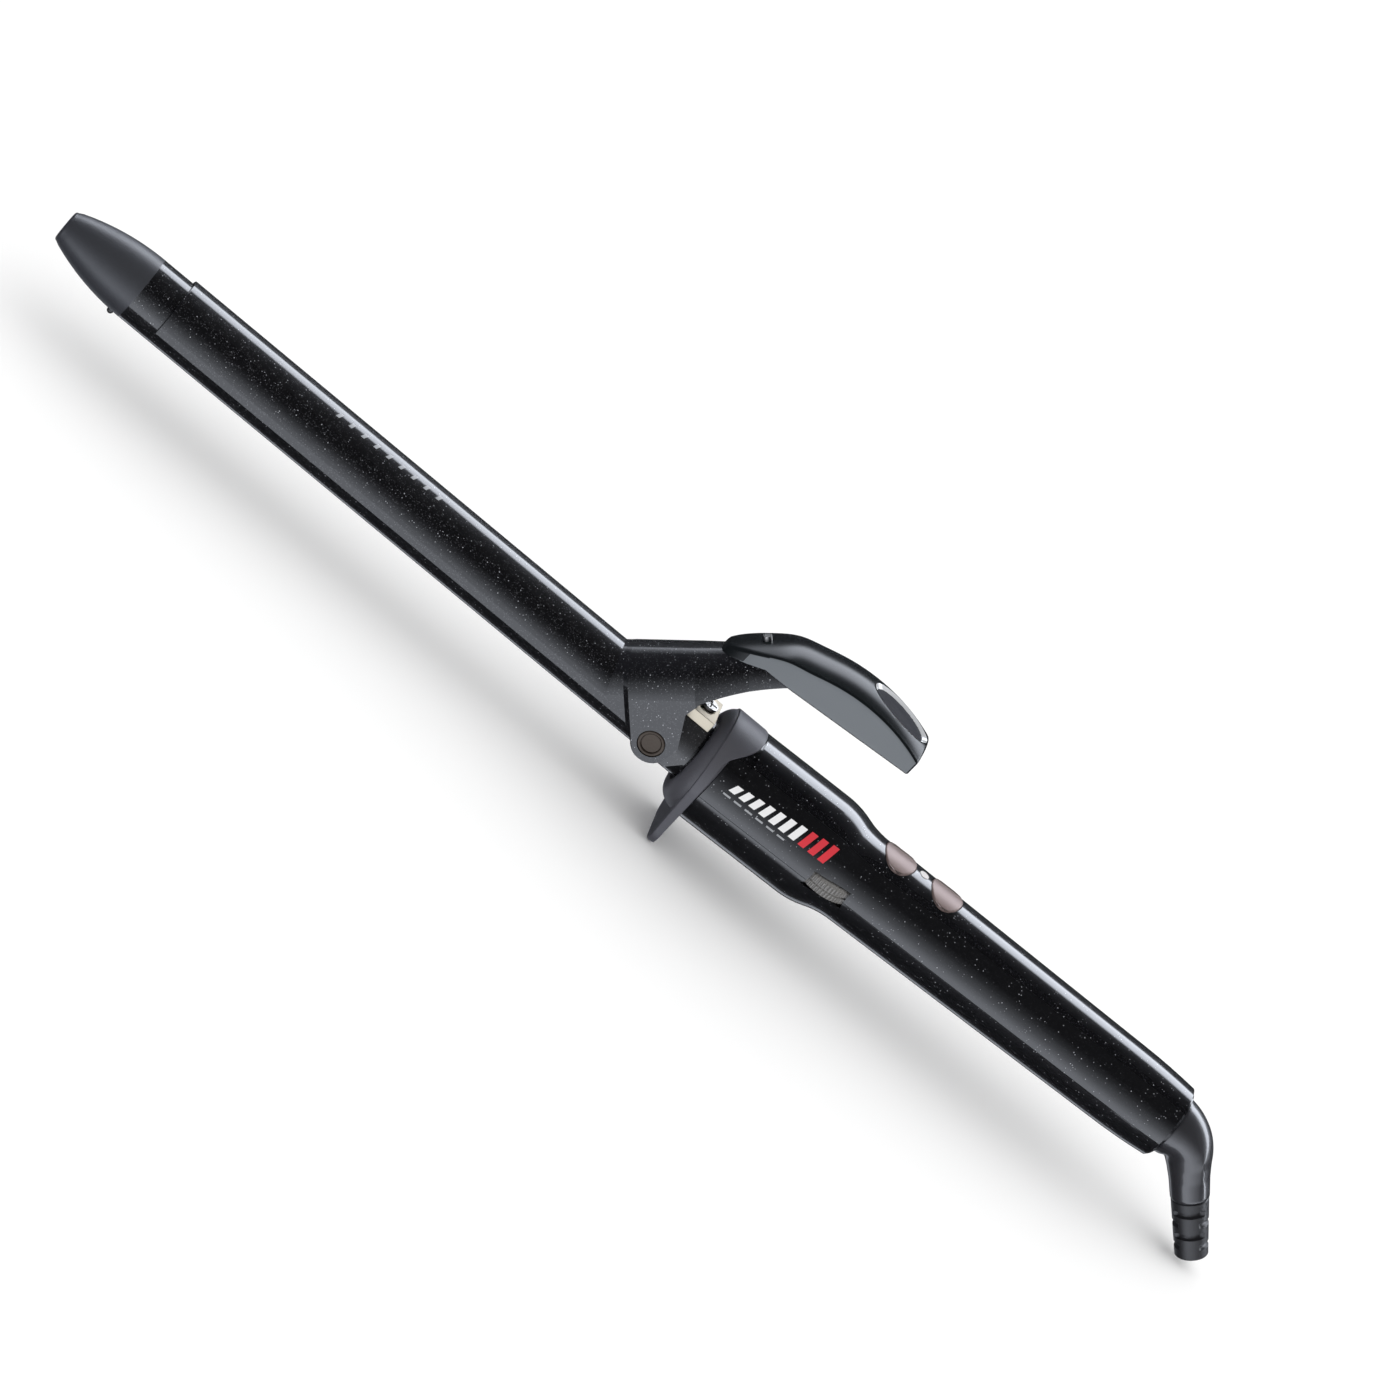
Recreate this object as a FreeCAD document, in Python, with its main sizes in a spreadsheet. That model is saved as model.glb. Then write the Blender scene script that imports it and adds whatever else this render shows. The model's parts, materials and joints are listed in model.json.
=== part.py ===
import FreeCAD, Part
import math
import os
import re
import Sketcher

# A spring-clamp curling iron, lying level on its stand foot.
# World frame: +Z up, +X from the barrel's tip towards the cord, the thumb dial is on the -Y side.
# The origin is the middle of the foot's flat bottom, so the table is the plane Z = 0.
# Lengths are millimetres and angles are degrees.

# ---------------------------------------------------------------- driving sizes
SIZES = {
    # heated barrel, measured forward (-X) from the datum where the handle starts
    "barrel_radius": 9.5, "barrel_wall": 1.0, "barrel_reach": 199.2, "barrel_tail": 6.0,
    "nest_gap": 0.1, "moving_gap": 0.35,
    # cool tip
    "cap_length": 25.5, "cap_tip_radius": 4.5, "cap_edge": 0.8, "cap_plug": 9.0,
    "tip_pin_radius": 0.95, "tip_pin_setback": 2.4, "tip_pin_depth": 3.0, "tip_pin_proud": 2.0,
    "tip_disc": 3.0,
    # heater inside the barrel
    "heater_start": 12.0, "heater_length": 138.0, "slot_half": 1.55,
    "ptc_length": 30.0, "ptc_width": 12.0, "ptc_half": 1.2, "ptc_pitch": 34.0,
    "strip_thickness": 0.25, "strip_half_width": 6.5,
    "sensor_radius": 1.5, "sensor_length": 6.0, "fuse_radius": 2.2, "fuse_length": 11.0,
    "heater_tail_gap": 4.0, "lead_radius": 1.0, "lead_spread": 5.2,
    # hinge and its saddle
    "hinge_setback": 21.6, "hinge_drop": 2.0, "pin_head_radius": 3.8, "pin_shank_radius": 2.0,
    "pin_clearance": 0.05, "saddle_thickness": 0.65, "saddle_front": 25.6, "saddle_rear": 11.5,
    "saddle_skirt": 5.4, "saddle_corner": 4.2,
    # clamp
    "clamp_thickness": 0.8, "clamp_gap": 0.15, "clamp_setback": 9.6, "clamp_skirt": 2.4,
    "arm_angle": 42.5, "arm_bend": 43.3, "arm_length": 47.0, "arm_end_width": 7.6,
    "ear_radius": 5.6, "ear_thickness": 0.8, "clamp_nose": 0.8,
    # thumb lever
    "lever_front": 24.0, "lever_rear": 33.4, "lever_half_width": 9.0, "lever_crown": 47.5,
    "lever_crown_place": 14.5, "lever_arc": 51.5, "lever_dome": 2.4, "lever_low": 34.6,
    "lever_low_rise": 0.075, "lever_neck": 12.6, "lever_neck_rise": 0.5, "lever_nose": 21.6,
    "lever_wall": 1.8,
    "pad_place": 22.6, "pad_half_length": 10.2, "pad_half_width": 5.4, "pad_depth": 1.1,
    "pad_thickness": 0.6, "lever_screw_radius": 1.25, "lever_screw_head": 2.5, "lever_screw_place": 38.0,
    "lever_screw_length": 4.2, "lever_screw_sink": 0.4, "lever_screw_head_depth": 1.3,
    # spring under the arm
    "spring_thickness": 0.5, "spring_half_width": 4.0, "spring_bend": 20.2, "spring_rear": 11.8,
    "spring_tip": 27.4, "spring_tip_height": 21.6, "clip_front": 19.4, "clip_rear": 12.0,
    "clip_half_width": 6.4, "clip_thickness": 0.8, "clip_lift": 0.75,
    "screw_head_radius": 2.7, "screw_head_height": 1.1, "screw_shank_radius": 1.2,
    # collar with the stand foot
    "collar_front": 10.6, "collar_rear": 3.6, "collar_margin": 0.4, "foot_depth": 25.5,
    "foot_half_width": 12.8, "foot_round": 6.0, "foot_front": 5.9, "foot_rear": 2.4,
    "collar_crest": 7.4, "dome_radius": 11.6, "dome_arc": 6.0, "collar_bore_gap": 0.4,
    "hood_length": 5.5, "hood_thickness": 0.8, "hood_proud": 0.3,
    "hood_angle": 55.0,
    # handle
    "handle_drop": 0.8, "handle_tilt": 1.9, "handle_radius": 15.8, "grip_radius": 13.1,
    "tail_shoulder": 12.0, "tail_start": 134.0, "tail_arc": 183.0, "tail_radius": 11.0,
    "neck_start": 30.0, "neck_length": 16.0, "handle_length": 152.5,
    "handle_wall": 2.2, "tail_chamfer": 0.8, "part_line": 1.8, "seam_gap": 0.12,
    "panel_thickness": 1.0, "panel_angle": 84.0, "panel_start": 5.0, "rear_wall": 6.5,
    "insulator_radius": 12.5, "insulator_length": 5.0,
    # buttons and indicator
    "button_one": 50.0, "button_two": 65.8, "button_half_length": 5.15, "button_half_width": 6.6,
    "button_proud": 0.35, "button_gap": 0.15, "button_floor": 9.4, "button_post": 2.0,
    "button_travel": 0.6, "indicator_place": 57.9, "indicator_radius": 1.4, "indicator_gap": 0.05,
    # electronics
    "board_start": 24.0, "board_length": 60.0, "board_half_width": 8.0, "board_height": 2.0,
    "board_thickness": 1.6, "switch_half": 3.0, "switch_height": 3.5, "switch_stem": 0.5,
    "relay_place": 62.0, "relay_length": 15.0, "relay_half_width": 5.0, "relay_depth": 7.0,
    "capacitor_place": 80.0, "capacitor_radius": 3.0, "capacitor_depth": 8.0,
    # thumb dial
    "dial_place": 36.5, "dial_offset": 5.3, "dial_radius": 10.5, "dial_bottom": 3.4, "dial_height": 4.6,
    "dial_facets": 44.0, "dial_gap": 0.5, "axle_radius": 1.5, "axle_clearance": 0.05,
    "pot_half": 4.0, "pot_height": 3.0,
    # screws that close the handle
    "screw_one": 14.0, "screw_two": 92.0, "screw_three": 120.0, "boss_radius": 3.2,
    "screw_seat": 8.0, "screw_head": 2.4, "screw_head_depth": 1.6, "screw_length": 6.0,
    # cord swivel
    "swivel_neck": 5.0, "swivel_clearance": 0.06, "bush_thickness": 1.5, "swivel_flange": 7.0,
    "flange_thickness": 2.4, "stub_radius": 3.0, "stub_length": 22.0, "ring_thickness": 1.0,
    "ring_width": 2.5, "ring_one": 14.0, "ring_two": 19.0, "brush_gap": 0.3,
    "elbow_radius": 8.7, "elbow_reach": 6.3, "elbow_bend_radius": 7.2, "elbow_angle": 49.4,
    "elbow_branch": 18.0, "branch_radius": 5.35, "branch_waist": 12.0, "branch_waist_radius": 5.5,
    "elbow_bore": 2.3,
    "boot_end": 35.5, "boot_top_radius": 5.2, "boot_end_radius": 4.5, "cord_bore": 3.25,
    "boot_groove": 1.4, "boot_groove_depth": 0.7, "boot_groove_first": 20.5, "boot_groove_pitch": 3.6,
}

doc = FreeCAD.newDocument("curling_iron")
sheet = doc.addObject("Spreadsheet::Sheet", "Dims")
for row, (word, amount) in enumerate(SIZES.items(), start=1):
    sheet.set(f"A{row}", word)
    sheet.set(f"B{row}", str(amount))
    sheet.setAlias(f"B{row}", word)
doc.recompute()

V = FreeCAD.Vector
NODES = {}


def size(word):
    """One driving size, read from the sheet."""
    return float(sheet.get(word))


def bound(formula):
    """A formula in the sheet's words, written for setExpression."""
    return re.sub(r"[a-z_]{3,}", lambda m: f"Dims.{m[0]}" if m[0] in SIZES else m[0], formula)


def number(formula):
    """The value that a formula in the sheet's words has now."""
    return float(probe.evalExpression(bound(formula)))


probe = doc.addObject("Part::Feature", "formula_probe")

# ---------------------------------------------------------------- frames
BARREL = FreeCAD.Placement(V(number("(foot_front + foot_rear) / 2"), 0, size("foot_depth")),
                           FreeCAD.Rotation())
HANDLE = BARREL * FreeCAD.Placement(V(0, 0, -size("handle_drop")),
                                    FreeCAD.Rotation(V(0, 1, 0), -size("handle_tilt")))


# ---------------------------------------------------------------- helpers
def keep(label, item, frame):
    """Name a finished sub-part and put it in its frame."""
    item.Label = label
    item.Placement = frame
    NODES[label] = item
    return item


def new_body(label, frame):
    body = doc.addObject("PartDesign::Body", label)
    return keep(label, body, frame)


def new_sketch(body, role, lift="0"):
    """A sketch on one of the body's origin planes, lifted along the plane's normal."""
    sketch = body.newObject("Sketcher::SketchObject", f"{body.Name}_sketch")
    plane = next(f for f in body.Origin.OriginFeatures if f.Role == role)
    sketch.AttachmentSupport = [(plane, "")]
    sketch.MapMode = "FlatFace"
    sketch.setExpression("AttachmentOffset.Base.z", bound(lift))
    return sketch


def arc_between(start, end, radius):
    """Circle arc from start to end; a positive radius keeps the centre on the left."""
    chord = end - start
    half = chord.Length / 2
    rise = math.sqrt(max(radius * radius - half * half, 0))
    side = V(-chord.y, chord.x, 0).normalize() * math.copysign(rise, radius)
    centre = (start + end) / 2 + side
    first, last = (start, end) if radius > 0 else (end, start)
    a = math.atan2(first.y - centre.y, first.x - centre.x)
    b = math.atan2(last.y - centre.y, last.x - centre.x)
    circle = Part.Circle(centre, V(0, 0, 1), abs(radius))
    return Part.ArcOfCircle(circle, a, b if b > a else b + 2 * math.pi)


def outline(sketch, points, arcs=None):
    """A closed outline. Each point is a pair of formulas; arcs gives the radius of edge i to i+1."""
    arcs = arcs or {}
    spots = [V(number(x), number(y), 0) for x, y in points]
    first = sketch.GeometryCount
    tail, head = [], []
    for i, start in enumerate(spots):
        end = spots[(i + 1) % len(spots)]
        if i in arcs:
            radius = number(arcs[i])
            sketch.addGeometry(arc_between(start, end, radius))
            tail.append(1 if radius > 0 else 2)
        else:
            sketch.addGeometry(Part.LineSegment(start, end))
            tail.append(1)
        head.append(3 - tail[-1])
    for i in range(len(spots)):
        j = (i + 1) % len(spots)
        sketch.addConstraint(Sketcher.Constraint("Coincident", first + i, head[i], first + j, tail[j]))
    for i, (x, y) in enumerate(points):
        for kind, formula, value in (("DistanceX", x, spots[i].x), ("DistanceY", y, spots[i].y)):
            k = sketch.addConstraint(Sketcher.Constraint(kind, -1, 1, first + i, tail[i], value))
            sketch.setExpression(f"Constraints[{k}]", bound(formula))
    for i, formula in arcs.items():
        j = (i + 1) % len(points)
        chord = spots[j] - spots[i]
        if chord.Length > 1.999 * abs(number(formula)):
            # a half circle: its centre is held in the middle of the chord
            axis = int(abs(chord.x) > abs(chord.y))
            middle = f"(({points[i][axis]}) + ({points[j][axis]})) / 2"
            kind = ("DistanceX", "DistanceY")[axis]
            k = sketch.addConstraint(Sketcher.Constraint(kind, -1, 1, first + i, 3, number(middle)))
            sketch.setExpression(f"Constraints[{k}]", bound(middle))
        else:
            k = sketch.addConstraint(Sketcher.Constraint("Radius", first + i, abs(number(formula))))
            sketch.setExpression(f"Constraints[{k}]", bound(f"abs({formula})"))


def rings(sketch, circles):
    """Circles, each given by formulas for its centre and radius."""
    for x, y, radius in circles:
        i = sketch.addGeometry(Part.Circle(V(number(x), number(y), 0), V(0, 0, 1), number(radius)))
        for kind, formula in (("DistanceX", x), ("DistanceY", y)):
            k = sketch.addConstraint(Sketcher.Constraint(kind, -1, 1, i, 3, number(formula)))
            sketch.setExpression(f"Constraints[{k}]", bound(formula))
        k = sketch.addConstraint(Sketcher.Constraint("Radius", i, number(radius)))
        sketch.setExpression(f"Constraints[{k}]", bound(radius))


def feature(body, kind, sketch, **options):
    """A sketch-based feature; a cut must take some volume away."""
    before = body.Shape.Volume if body.Tip else 0.0
    item = body.newObject(f"PartDesign::{kind}", f"{body.Name}_{kind}")
    item.Profile = sketch
    if kind in ("Revolution", "Groove"):
        item.ReferenceAxis = (sketch, ["H_Axis"])
    for name, value in options.items():
        if isinstance(value, str):
            item.setExpression(name, bound(value))
        else:
            setattr(item, name, value)
    sketch.Visibility = False
    doc.recompute()
    change = body.Shape.Volume - before
    if (change < 0) != (kind in ("Pocket", "Groove")):
        raise ValueError(f"{body.Label}: {kind} changed the volume by {change:.3f}")
    return item


def turned(label, frame, points, arcs=None, sweep="360"):
    """A body turned about the X axis from its half outline in the XZ plane."""
    body = new_body(label, frame)
    sketch = new_sketch(body, "XZ_Plane")
    outline(sketch, points, arcs)
    feature(body, "Revolution", sketch, Angle=sweep, Midplane=True)
    return body


def turned_cut(body, points, arcs=None, sweep="360"):
    sketch = new_sketch(body, "XZ_Plane")
    outline(sketch, points, arcs)
    feature(body, "Groove", sketch, Angle=sweep, Midplane=True)


def pad(body, role, points, length, lift="0", arcs=None, **options):
    sketch = new_sketch(body, role, lift)
    outline(sketch, points, arcs)
    feature(body, "Pad", sketch, Length=length, **options)


def pocket(body, role, points, length, lift="0", arcs=None, **options):
    sketch = new_sketch(body, role, lift)
    outline(sketch, points, arcs)
    feature(body, "Pocket", sketch, Length=length, **options)


def round_pad(body, role, circles, length, lift="0", **options):
    sketch = new_sketch(body, role, lift)
    rings(sketch, circles)
    feature(body, "Pad", sketch, Length=length, **options)


def round_pocket(body, role, circles, length, lift="0", **options):
    sketch = new_sketch(body, role, lift)
    rings(sketch, circles)
    feature(body, "Pocket", sketch, Length=length, **options)


def box(name, low, high):
    """A Part::Box between two corners, each three formulas."""
    item = doc.addObject("Part::Box", name)
    for axis, side, a, b in zip("xyz", ("Length", "Width", "Height"), low, high):
        item.setExpression(f"Placement.Base.{axis}", bound(a))
        item.setExpression(side, bound(f"({b}) - ({a})"))
    return item


AXES = {"x": FreeCAD.Rotation(V(0, 1, 0), 90), "y": FreeCAD.Rotation(V(1, 0, 0), -90),
        "z": FreeCAD.Rotation()}


def rod(name, axis, start, radius, length):
    """A Part::Cylinder along an axis from its start point."""
    item = doc.addObject("Part::Cylinder", name)
    item.Placement.Rotation = AXES[axis]
    for letter, formula in zip("xyz", start):
        item.setExpression(f"Placement.Base.{letter}", bound(formula))
    item.setExpression("Radius", bound(radius))
    item.setExpression("Height", bound(length))
    return item


def group(label, frame, pieces):
    """Several separate solids of one kind in one node."""
    item = doc.addObject("Part::Compound", label)
    item.Links = pieces
    return keep(label, item, frame)


def free_form(label, frame, shape):
    """A sub-part whose shape is made with Part's own functions."""
    item = doc.addObject("Part::Feature", label)
    item.Shape = shape
    return keep(label, item, frame)


def prism_xz(points, half_width):
    """A solid with an outline of (x, z) points, symmetric about the XZ plane."""
    spots = [V(x, -half_width, z) for x, z in points]
    return Part.Face(Part.makePolygon(spots + spots[:1])).extrude(V(0, 2 * half_width, 0))


def bent_strip(points, thickness, half_width):
    """A bent flat strip: its lower line is given as (x, z) points from front to rear."""
    line = [V(x, 0, z) for x, z in points]
    lifts = []
    for i, spot in enumerate(line):
        legs = [(line[j + 1] - line[j]).normalize() for j in (i - 1, i) if 0 <= j < len(line) - 1]
        normals = [V(-leg.z, 0, leg.x) for leg in legs]
        mean = (normals[0] + normals[-1]).normalize()
        lifts.append(spot + mean * (thickness / mean.dot(normals[0])))
    ring = [(p.x, p.z) for p in line] + [(p.x, p.z) for p in reversed(lifts)]
    return prism_xz(ring, half_width)


# ---------------------------------------------------------------- cool tip and barrel
CAP_ARC = "(cap_length^2 + (barrel_radius - cap_tip_radius)^2) / (2 * (barrel_radius - cap_tip_radius))"
JOINT = "-barrel_reach"
PLUG = "barrel_radius - barrel_wall - nest_gap"
TIP_PIN_X = "-barrel_reach - tip_pin_setback"

cool_tip = turned("cool_tip", BARREL, [
    ("-barrel_reach - cap_length", "0"),
    ("-barrel_reach - cap_length", "cap_tip_radius - cap_edge"),
    ("-barrel_reach - cap_length + cap_edge / 2", "cap_tip_radius"),
    (JOINT, "barrel_radius"),
    (JOINT, PLUG),
    ("-barrel_reach + cap_plug", PLUG),
    ("-barrel_reach + cap_plug", "0"),
], {2: f"-({CAP_ARC})"})
round_pocket(cool_tip, "XY_Plane", [(TIP_PIN_X, "0", "tip_pin_radius")], "2 * tip_pin_depth",
             "-barrel_radius + tip_pin_depth")

pin_rod = rod("tip_pin_rod", "z", (TIP_PIN_X, "0", "-barrel_radius - tip_pin_proud + tip_pin_radius"),
              "tip_pin_radius", "tip_pin_proud - tip_pin_radius + tip_pin_depth")
pin_dome = doc.addObject("Part::Sphere", "tip_pin_dome")
pin_dome.setExpression("Radius", bound("tip_pin_radius"))
pin_dome.setExpression("Placement.Base.x", bound(TIP_PIN_X))
pin_dome.setExpression("Placement.Base.z", bound("-barrel_radius - tip_pin_proud + tip_pin_radius"))
tip_pin = doc.addObject("Part::Fuse", "tip_pin")
tip_pin.Base, tip_pin.Tool = pin_rod, pin_dome
keep("tip_pin", tip_pin, BARREL)

turned("barrel_tube", BARREL, [
    (JOINT, "barrel_radius - barrel_wall"),
    (JOINT, "barrel_radius"),
    ("barrel_tail", "barrel_radius"),
    ("barrel_tail", "barrel_radius - barrel_wall"),
])

tip_disc = new_body("tip_insulator", BARREL)
round_pad(tip_disc, "YZ_Plane", [("0", "0", PLUG)], "tip_disc - nest_gap",
          "-barrel_reach + cap_plug + nest_gap / 2")

# ---------------------------------------------------------------- heater
HEATER = "-barrel_reach + heater_start"
CHORD = "sqrt((barrel_radius - barrel_wall - nest_gap)^2 - slot_half^2)"
for label, sign in (("heat_spreader_upper", ""), ("heat_spreader_lower", "-")):
    spreader = new_body(label, BARREL)
    pad(spreader, "YZ_Plane", [(f"-{CHORD}", f"{sign}slot_half"), (CHORD, f"{sign}slot_half")],
        "heater_length", HEATER + " + nest_gap", {1: f"{sign}({PLUG})"} if not sign else {1: f"-({PLUG})"})

group("ptc_elements", BARREL, [
    box(f"ptc_{i}", (f"{HEATER} + 3 + {i} * ptc_pitch", "-ptc_width / 2", "-ptc_half"),
        (f"{HEATER} + 3 + {i} * ptc_pitch + ptc_length", "ptc_width / 2", "ptc_half"))
    for i in range(4)
])
group("electrode_strips", BARREL, [
    box("electrode_upper", (HEATER + " + 1", "-strip_half_width", "ptc_half + nest_gap / 2"),
        (HEATER + " + heater_length", "strip_half_width", "ptc_half + nest_gap / 2 + strip_thickness")),
    box("electrode_lower",
        (HEATER + " + 1", "-strip_half_width", "-ptc_half - nest_gap / 2 - strip_thickness"),
        (HEATER + " + heater_length", "strip_half_width", "-ptc_half - nest_gap / 2")),
])
HEATER_END = HEATER + " + heater_length + heater_tail_gap"
group("temperature_sensor", BARREL, [
    rod("sensor_bead", "x", (HEATER_END, "0", "barrel_radius / 2 - sensor_radius"), "sensor_radius",
        "sensor_length")])
group("thermal_fuse", BARREL, [
    rod("fuse_can", "x", (HEATER_END, "0", "-barrel_radius / 2"), "fuse_radius", "fuse_length")])
group("heater_leads", BARREL, [
    rod(f"heater_lead_{name}", "x", (HEATER + " + heater_length + 1", f"{sign}lead_spread", "0"),
        "lead_radius", "board_start - 1 + barrel_reach - heater_start - heater_length - 1")
    for name, sign in (("near", "-"), ("far", ""))
])
turned("base_insulator", BARREL, [
    ("-collar_rear + 0.4", "barrel_radius + nest_gap / 2"),
    ("-collar_rear + 0.4", "insulator_radius"),
    ("insulator_length", "insulator_radius"),
    ("insulator_length", "barrel_radius + nest_gap / 2"),
])

# ---------------------------------------------------------------- hinge saddle, pins, spring
SADDLE_IN = "barrel_radius + nest_gap / 2"
SADDLE_OUT = "barrel_radius + nest_gap / 2 + saddle_thickness"
PIN_X, PIN_Z = "-hinge_setback", "-hinge_drop"
saddle = new_body("hinge_saddle", BARREL)
pad(saddle, "YZ_Plane", [
    (f"-({SADDLE_OUT})", "-saddle_skirt"), (f"-({SADDLE_IN})", "-saddle_skirt"), (f"-({SADDLE_IN})", "0"),
    (SADDLE_IN, "0"), (SADDLE_IN, "-saddle_skirt"), (SADDLE_OUT, "-saddle_skirt"),
    (SADDLE_OUT, "0"), (f"-({SADDLE_OUT})", "0"),
], "saddle_front - saddle_rear", "-saddle_front", {2: f"-({SADDLE_IN})", 6: SADDLE_OUT})
pocket(saddle, "XZ_Plane", [
    ("-saddle_rear - saddle_corner", "-saddle_skirt - 1"), ("-saddle_rear + 1", "-saddle_skirt - 1"),
    ("-saddle_rear + 1", "-saddle_skirt + saddle_corner + 1"),
], "4 * barrel_radius", Midplane=True)
round_pocket(saddle, "XZ_Plane", [(PIN_X, PIN_Z, "pin_shank_radius")], "4 * barrel_radius", Midplane=True)
round_pocket(saddle, "XY_Plane", [("-(clip_front + clip_rear) / 2", "0", "screw_shank_radius")],
             "2 * barrel_radius", Reversed=True)

EAR_IN = f"{SADDLE_OUT} + moving_gap"
PIN_END = f"{EAR_IN} + ear_thickness"
pins = []
for name, sign in (("near", -1), ("far", 1)):
    head_from = f"-({PIN_END})" if sign < 0 else f"{EAR_IN} - nest_gap"
    shank_from = f"-({EAR_IN} - nest_gap)" if sign < 0 else SADDLE_IN
    head = rod(f"pin_head_{name}", "y", (PIN_X, head_from, PIN_Z), "pin_head_radius",
               "ear_thickness + nest_gap")
    shank = rod(f"pin_shank_{name}", "y", (PIN_X, shank_from, PIN_Z), "pin_shank_radius",
                "saddle_thickness + moving_gap - nest_gap")
    pin = doc.addObject("Part::Fuse", f"hinge_pin_{name}")
    pin.Base, pin.Tool = head, shank
    pins.append(pin)
group("hinge_pins", BARREL, pins)

spring_low = number(SADDLE_OUT) + size("nest_gap")
spring_strip = bent_strip([
    (-size("spring_tip"), size("spring_tip_height")),
    (-size("spring_bend"), spring_low),
    (-size("spring_rear"), spring_low),
], size("spring_thickness"), size("spring_half_width"))
clip_middle = number("-(clip_front + clip_rear) / 2")
screw_column = Part.makeCylinder(size("screw_shank_radius") + size("nest_gap"), size("barrel_radius"),
                                 V(clip_middle, 0, size("barrel_radius")))
free_form("leaf_spring", BARREL, spring_strip.cut(screw_column))

CLIP_TOP = f"{SADDLE_OUT} + clip_lift + clip_thickness"
CLIP_FOOT = f"sqrt(({SADDLE_OUT} + nest_gap)^2 - (clip_half_width - clip_thickness)^2)"
clip = new_body("spring_clip", BARREL)
pad(clip, "YZ_Plane", [
    ("-clip_half_width", CLIP_FOOT), ("-clip_half_width + clip_thickness", CLIP_FOOT),
    ("-clip_half_width + clip_thickness", f"{CLIP_TOP} - clip_thickness"),
    ("clip_half_width - clip_thickness", f"{CLIP_TOP} - clip_thickness"),
    ("clip_half_width - clip_thickness", CLIP_FOOT), ("clip_half_width", CLIP_FOOT),
    ("clip_half_width", CLIP_TOP), ("-clip_half_width", CLIP_TOP),
], "clip_front - clip_rear", "-clip_front")
round_pocket(clip, "XY_Plane", [("-(clip_front + clip_rear) / 2", "0", "screw_shank_radius")],
             "2 * barrel_radius", Reversed=True)

spring_screw = new_body("spring_screw", BARREL)
SCREW_X = "-(clip_front + clip_rear) / 2"
round_pad(spring_screw, "XY_Plane", [(SCREW_X, "0", "screw_head_radius")], "screw_head_height", CLIP_TOP)
round_pad(spring_screw, "XY_Plane", [(SCREW_X, "0", "screw_shank_radius")],
          f"{CLIP_TOP} - ({SADDLE_IN})", SADDLE_IN)
for across in (("screw_head_radius * 0.7", "0.35"), ("0.35", "screw_head_radius * 0.7")):
    along, side = across
    pocket(spring_screw, "XY_Plane", [
        (f"{SCREW_X} - {along}", f"-{side}"), (f"{SCREW_X} + {along}", f"-{side}"),
        (f"{SCREW_X} + {along}", side), (f"{SCREW_X} - {along}", side),
    ], "screw_head_height / 2", f"{CLIP_TOP} + screw_head_height")

# ---------------------------------------------------------------- clamp: spoon, arm and ears
clamp_out = number("barrel_radius + clamp_gap + clamp_thickness")
ear_out = number(PIN_END)
arm_angle = math.radians(size("arm_angle"))
bend = V(-size("arm_bend"), 0, clamp_out)
along_arm = V(math.cos(arm_angle), 0, math.sin(arm_angle))
above_arm = V(-math.sin(arm_angle), 0, math.cos(arm_angle))


def channel_wire(apex, along, above, half_width, wall, depth):
    """An upside-down U across the direction along; wall 0 gives the filled outline."""
    side = V(0, 1, 0)
    centre = apex - above * half_width

    def arch(radius, flip):
        left, right = centre - side * radius, centre + side * radius
        if flip:
            left, right = right, left
        return [Part.LineSegment(left - above * depth, left).toShape(),
                Part.Arc(left, centre + above * radius, right).toShape(),
                Part.LineSegment(right, right - above * depth).toShape()], left, right

    outer, left, right = arch(half_width, False)
    if wall == 0:
        closing = [Part.LineSegment(right - above * depth, left - above * depth).toShape()]
        return Part.Wire(outer + closing)
    inner, start, end = arch(half_width - wall, True)
    joins = [Part.LineSegment(right - above * depth, start - above * depth).toShape(),
             Part.LineSegment(end - above * depth, left - above * depth).toShape()]
    return Part.Wire([outer[0], outer[1], outer[2], joins[0], inner[0], inner[1], inner[2], joins[1]])


ARM_DEPTH = 45.0
# half-widths of the arm at places along it from the bend: it spreads over the hinge, then narrows
AHEAD, SPREAD_FROM, SPREAD_TO, NARROW_FROM, NARROW_MIDDLE, NARROW_SAG = -14.0, 0.9, 2.3, 20.0, 34.0, 0.6
arm_stations = [
    (AHEAD, clamp_out), (SPREAD_FROM, clamp_out), (SPREAD_TO, ear_out), (NARROW_FROM, ear_out),
    (NARROW_MIDDLE, (ear_out + size("arm_end_width")) / 2 - NARROW_SAG),
    (size("arm_length"), size("arm_end_width")),
]


def arm_channel(wall):
    wires = [channel_wire(bend + along_arm * s, along_arm, above_arm, w, wall, ARM_DEPTH)
             for s, w in arm_stations]
    return Part.makeLoft(wires, True, True)


def half_space(point, normal, reach=300.0):
    """A large block on the side of a plane that the normal points to."""
    block = Part.makeBox(reach, reach, reach, V(-reach / 2, -reach / 2, 0))
    block.Placement = FreeCAD.Placement(point, FreeCAD.Rotation(V(0, 0, 1), normal))
    return block


mitre = V(math.cos(arm_angle / 2), 0, math.sin(arm_angle / 2))
ahead, behind = half_space(bend, mitre * -1), half_space(bend, mitre)
front = -number("barrel_reach - clamp_setback")
spoon_wire = channel_wire(V(front, 0, clamp_out), V(1, 0, 0), V(0, 0, 1), clamp_out,
                          size("clamp_thickness"), size("clamp_skirt"))
spoon = Part.Face(spoon_wire).extrude(V(-front, 0, 0)).common(ahead)

pin_spot = V(-size("hinge_setback"), 0, -size("hinge_drop"))


def on_ear(degrees):
    a = math.radians(degrees)
    return pin_spot + V(math.cos(a), 0, math.sin(a)) * size("ear_radius")


def from_pin(behind_pin, above_pin):
    return pin_spot + V(behind_pin, 0, above_pin)


EAR_LEFT, EAR_BOTTOM, EAR_RIGHT = 215, 275, -20
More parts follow.
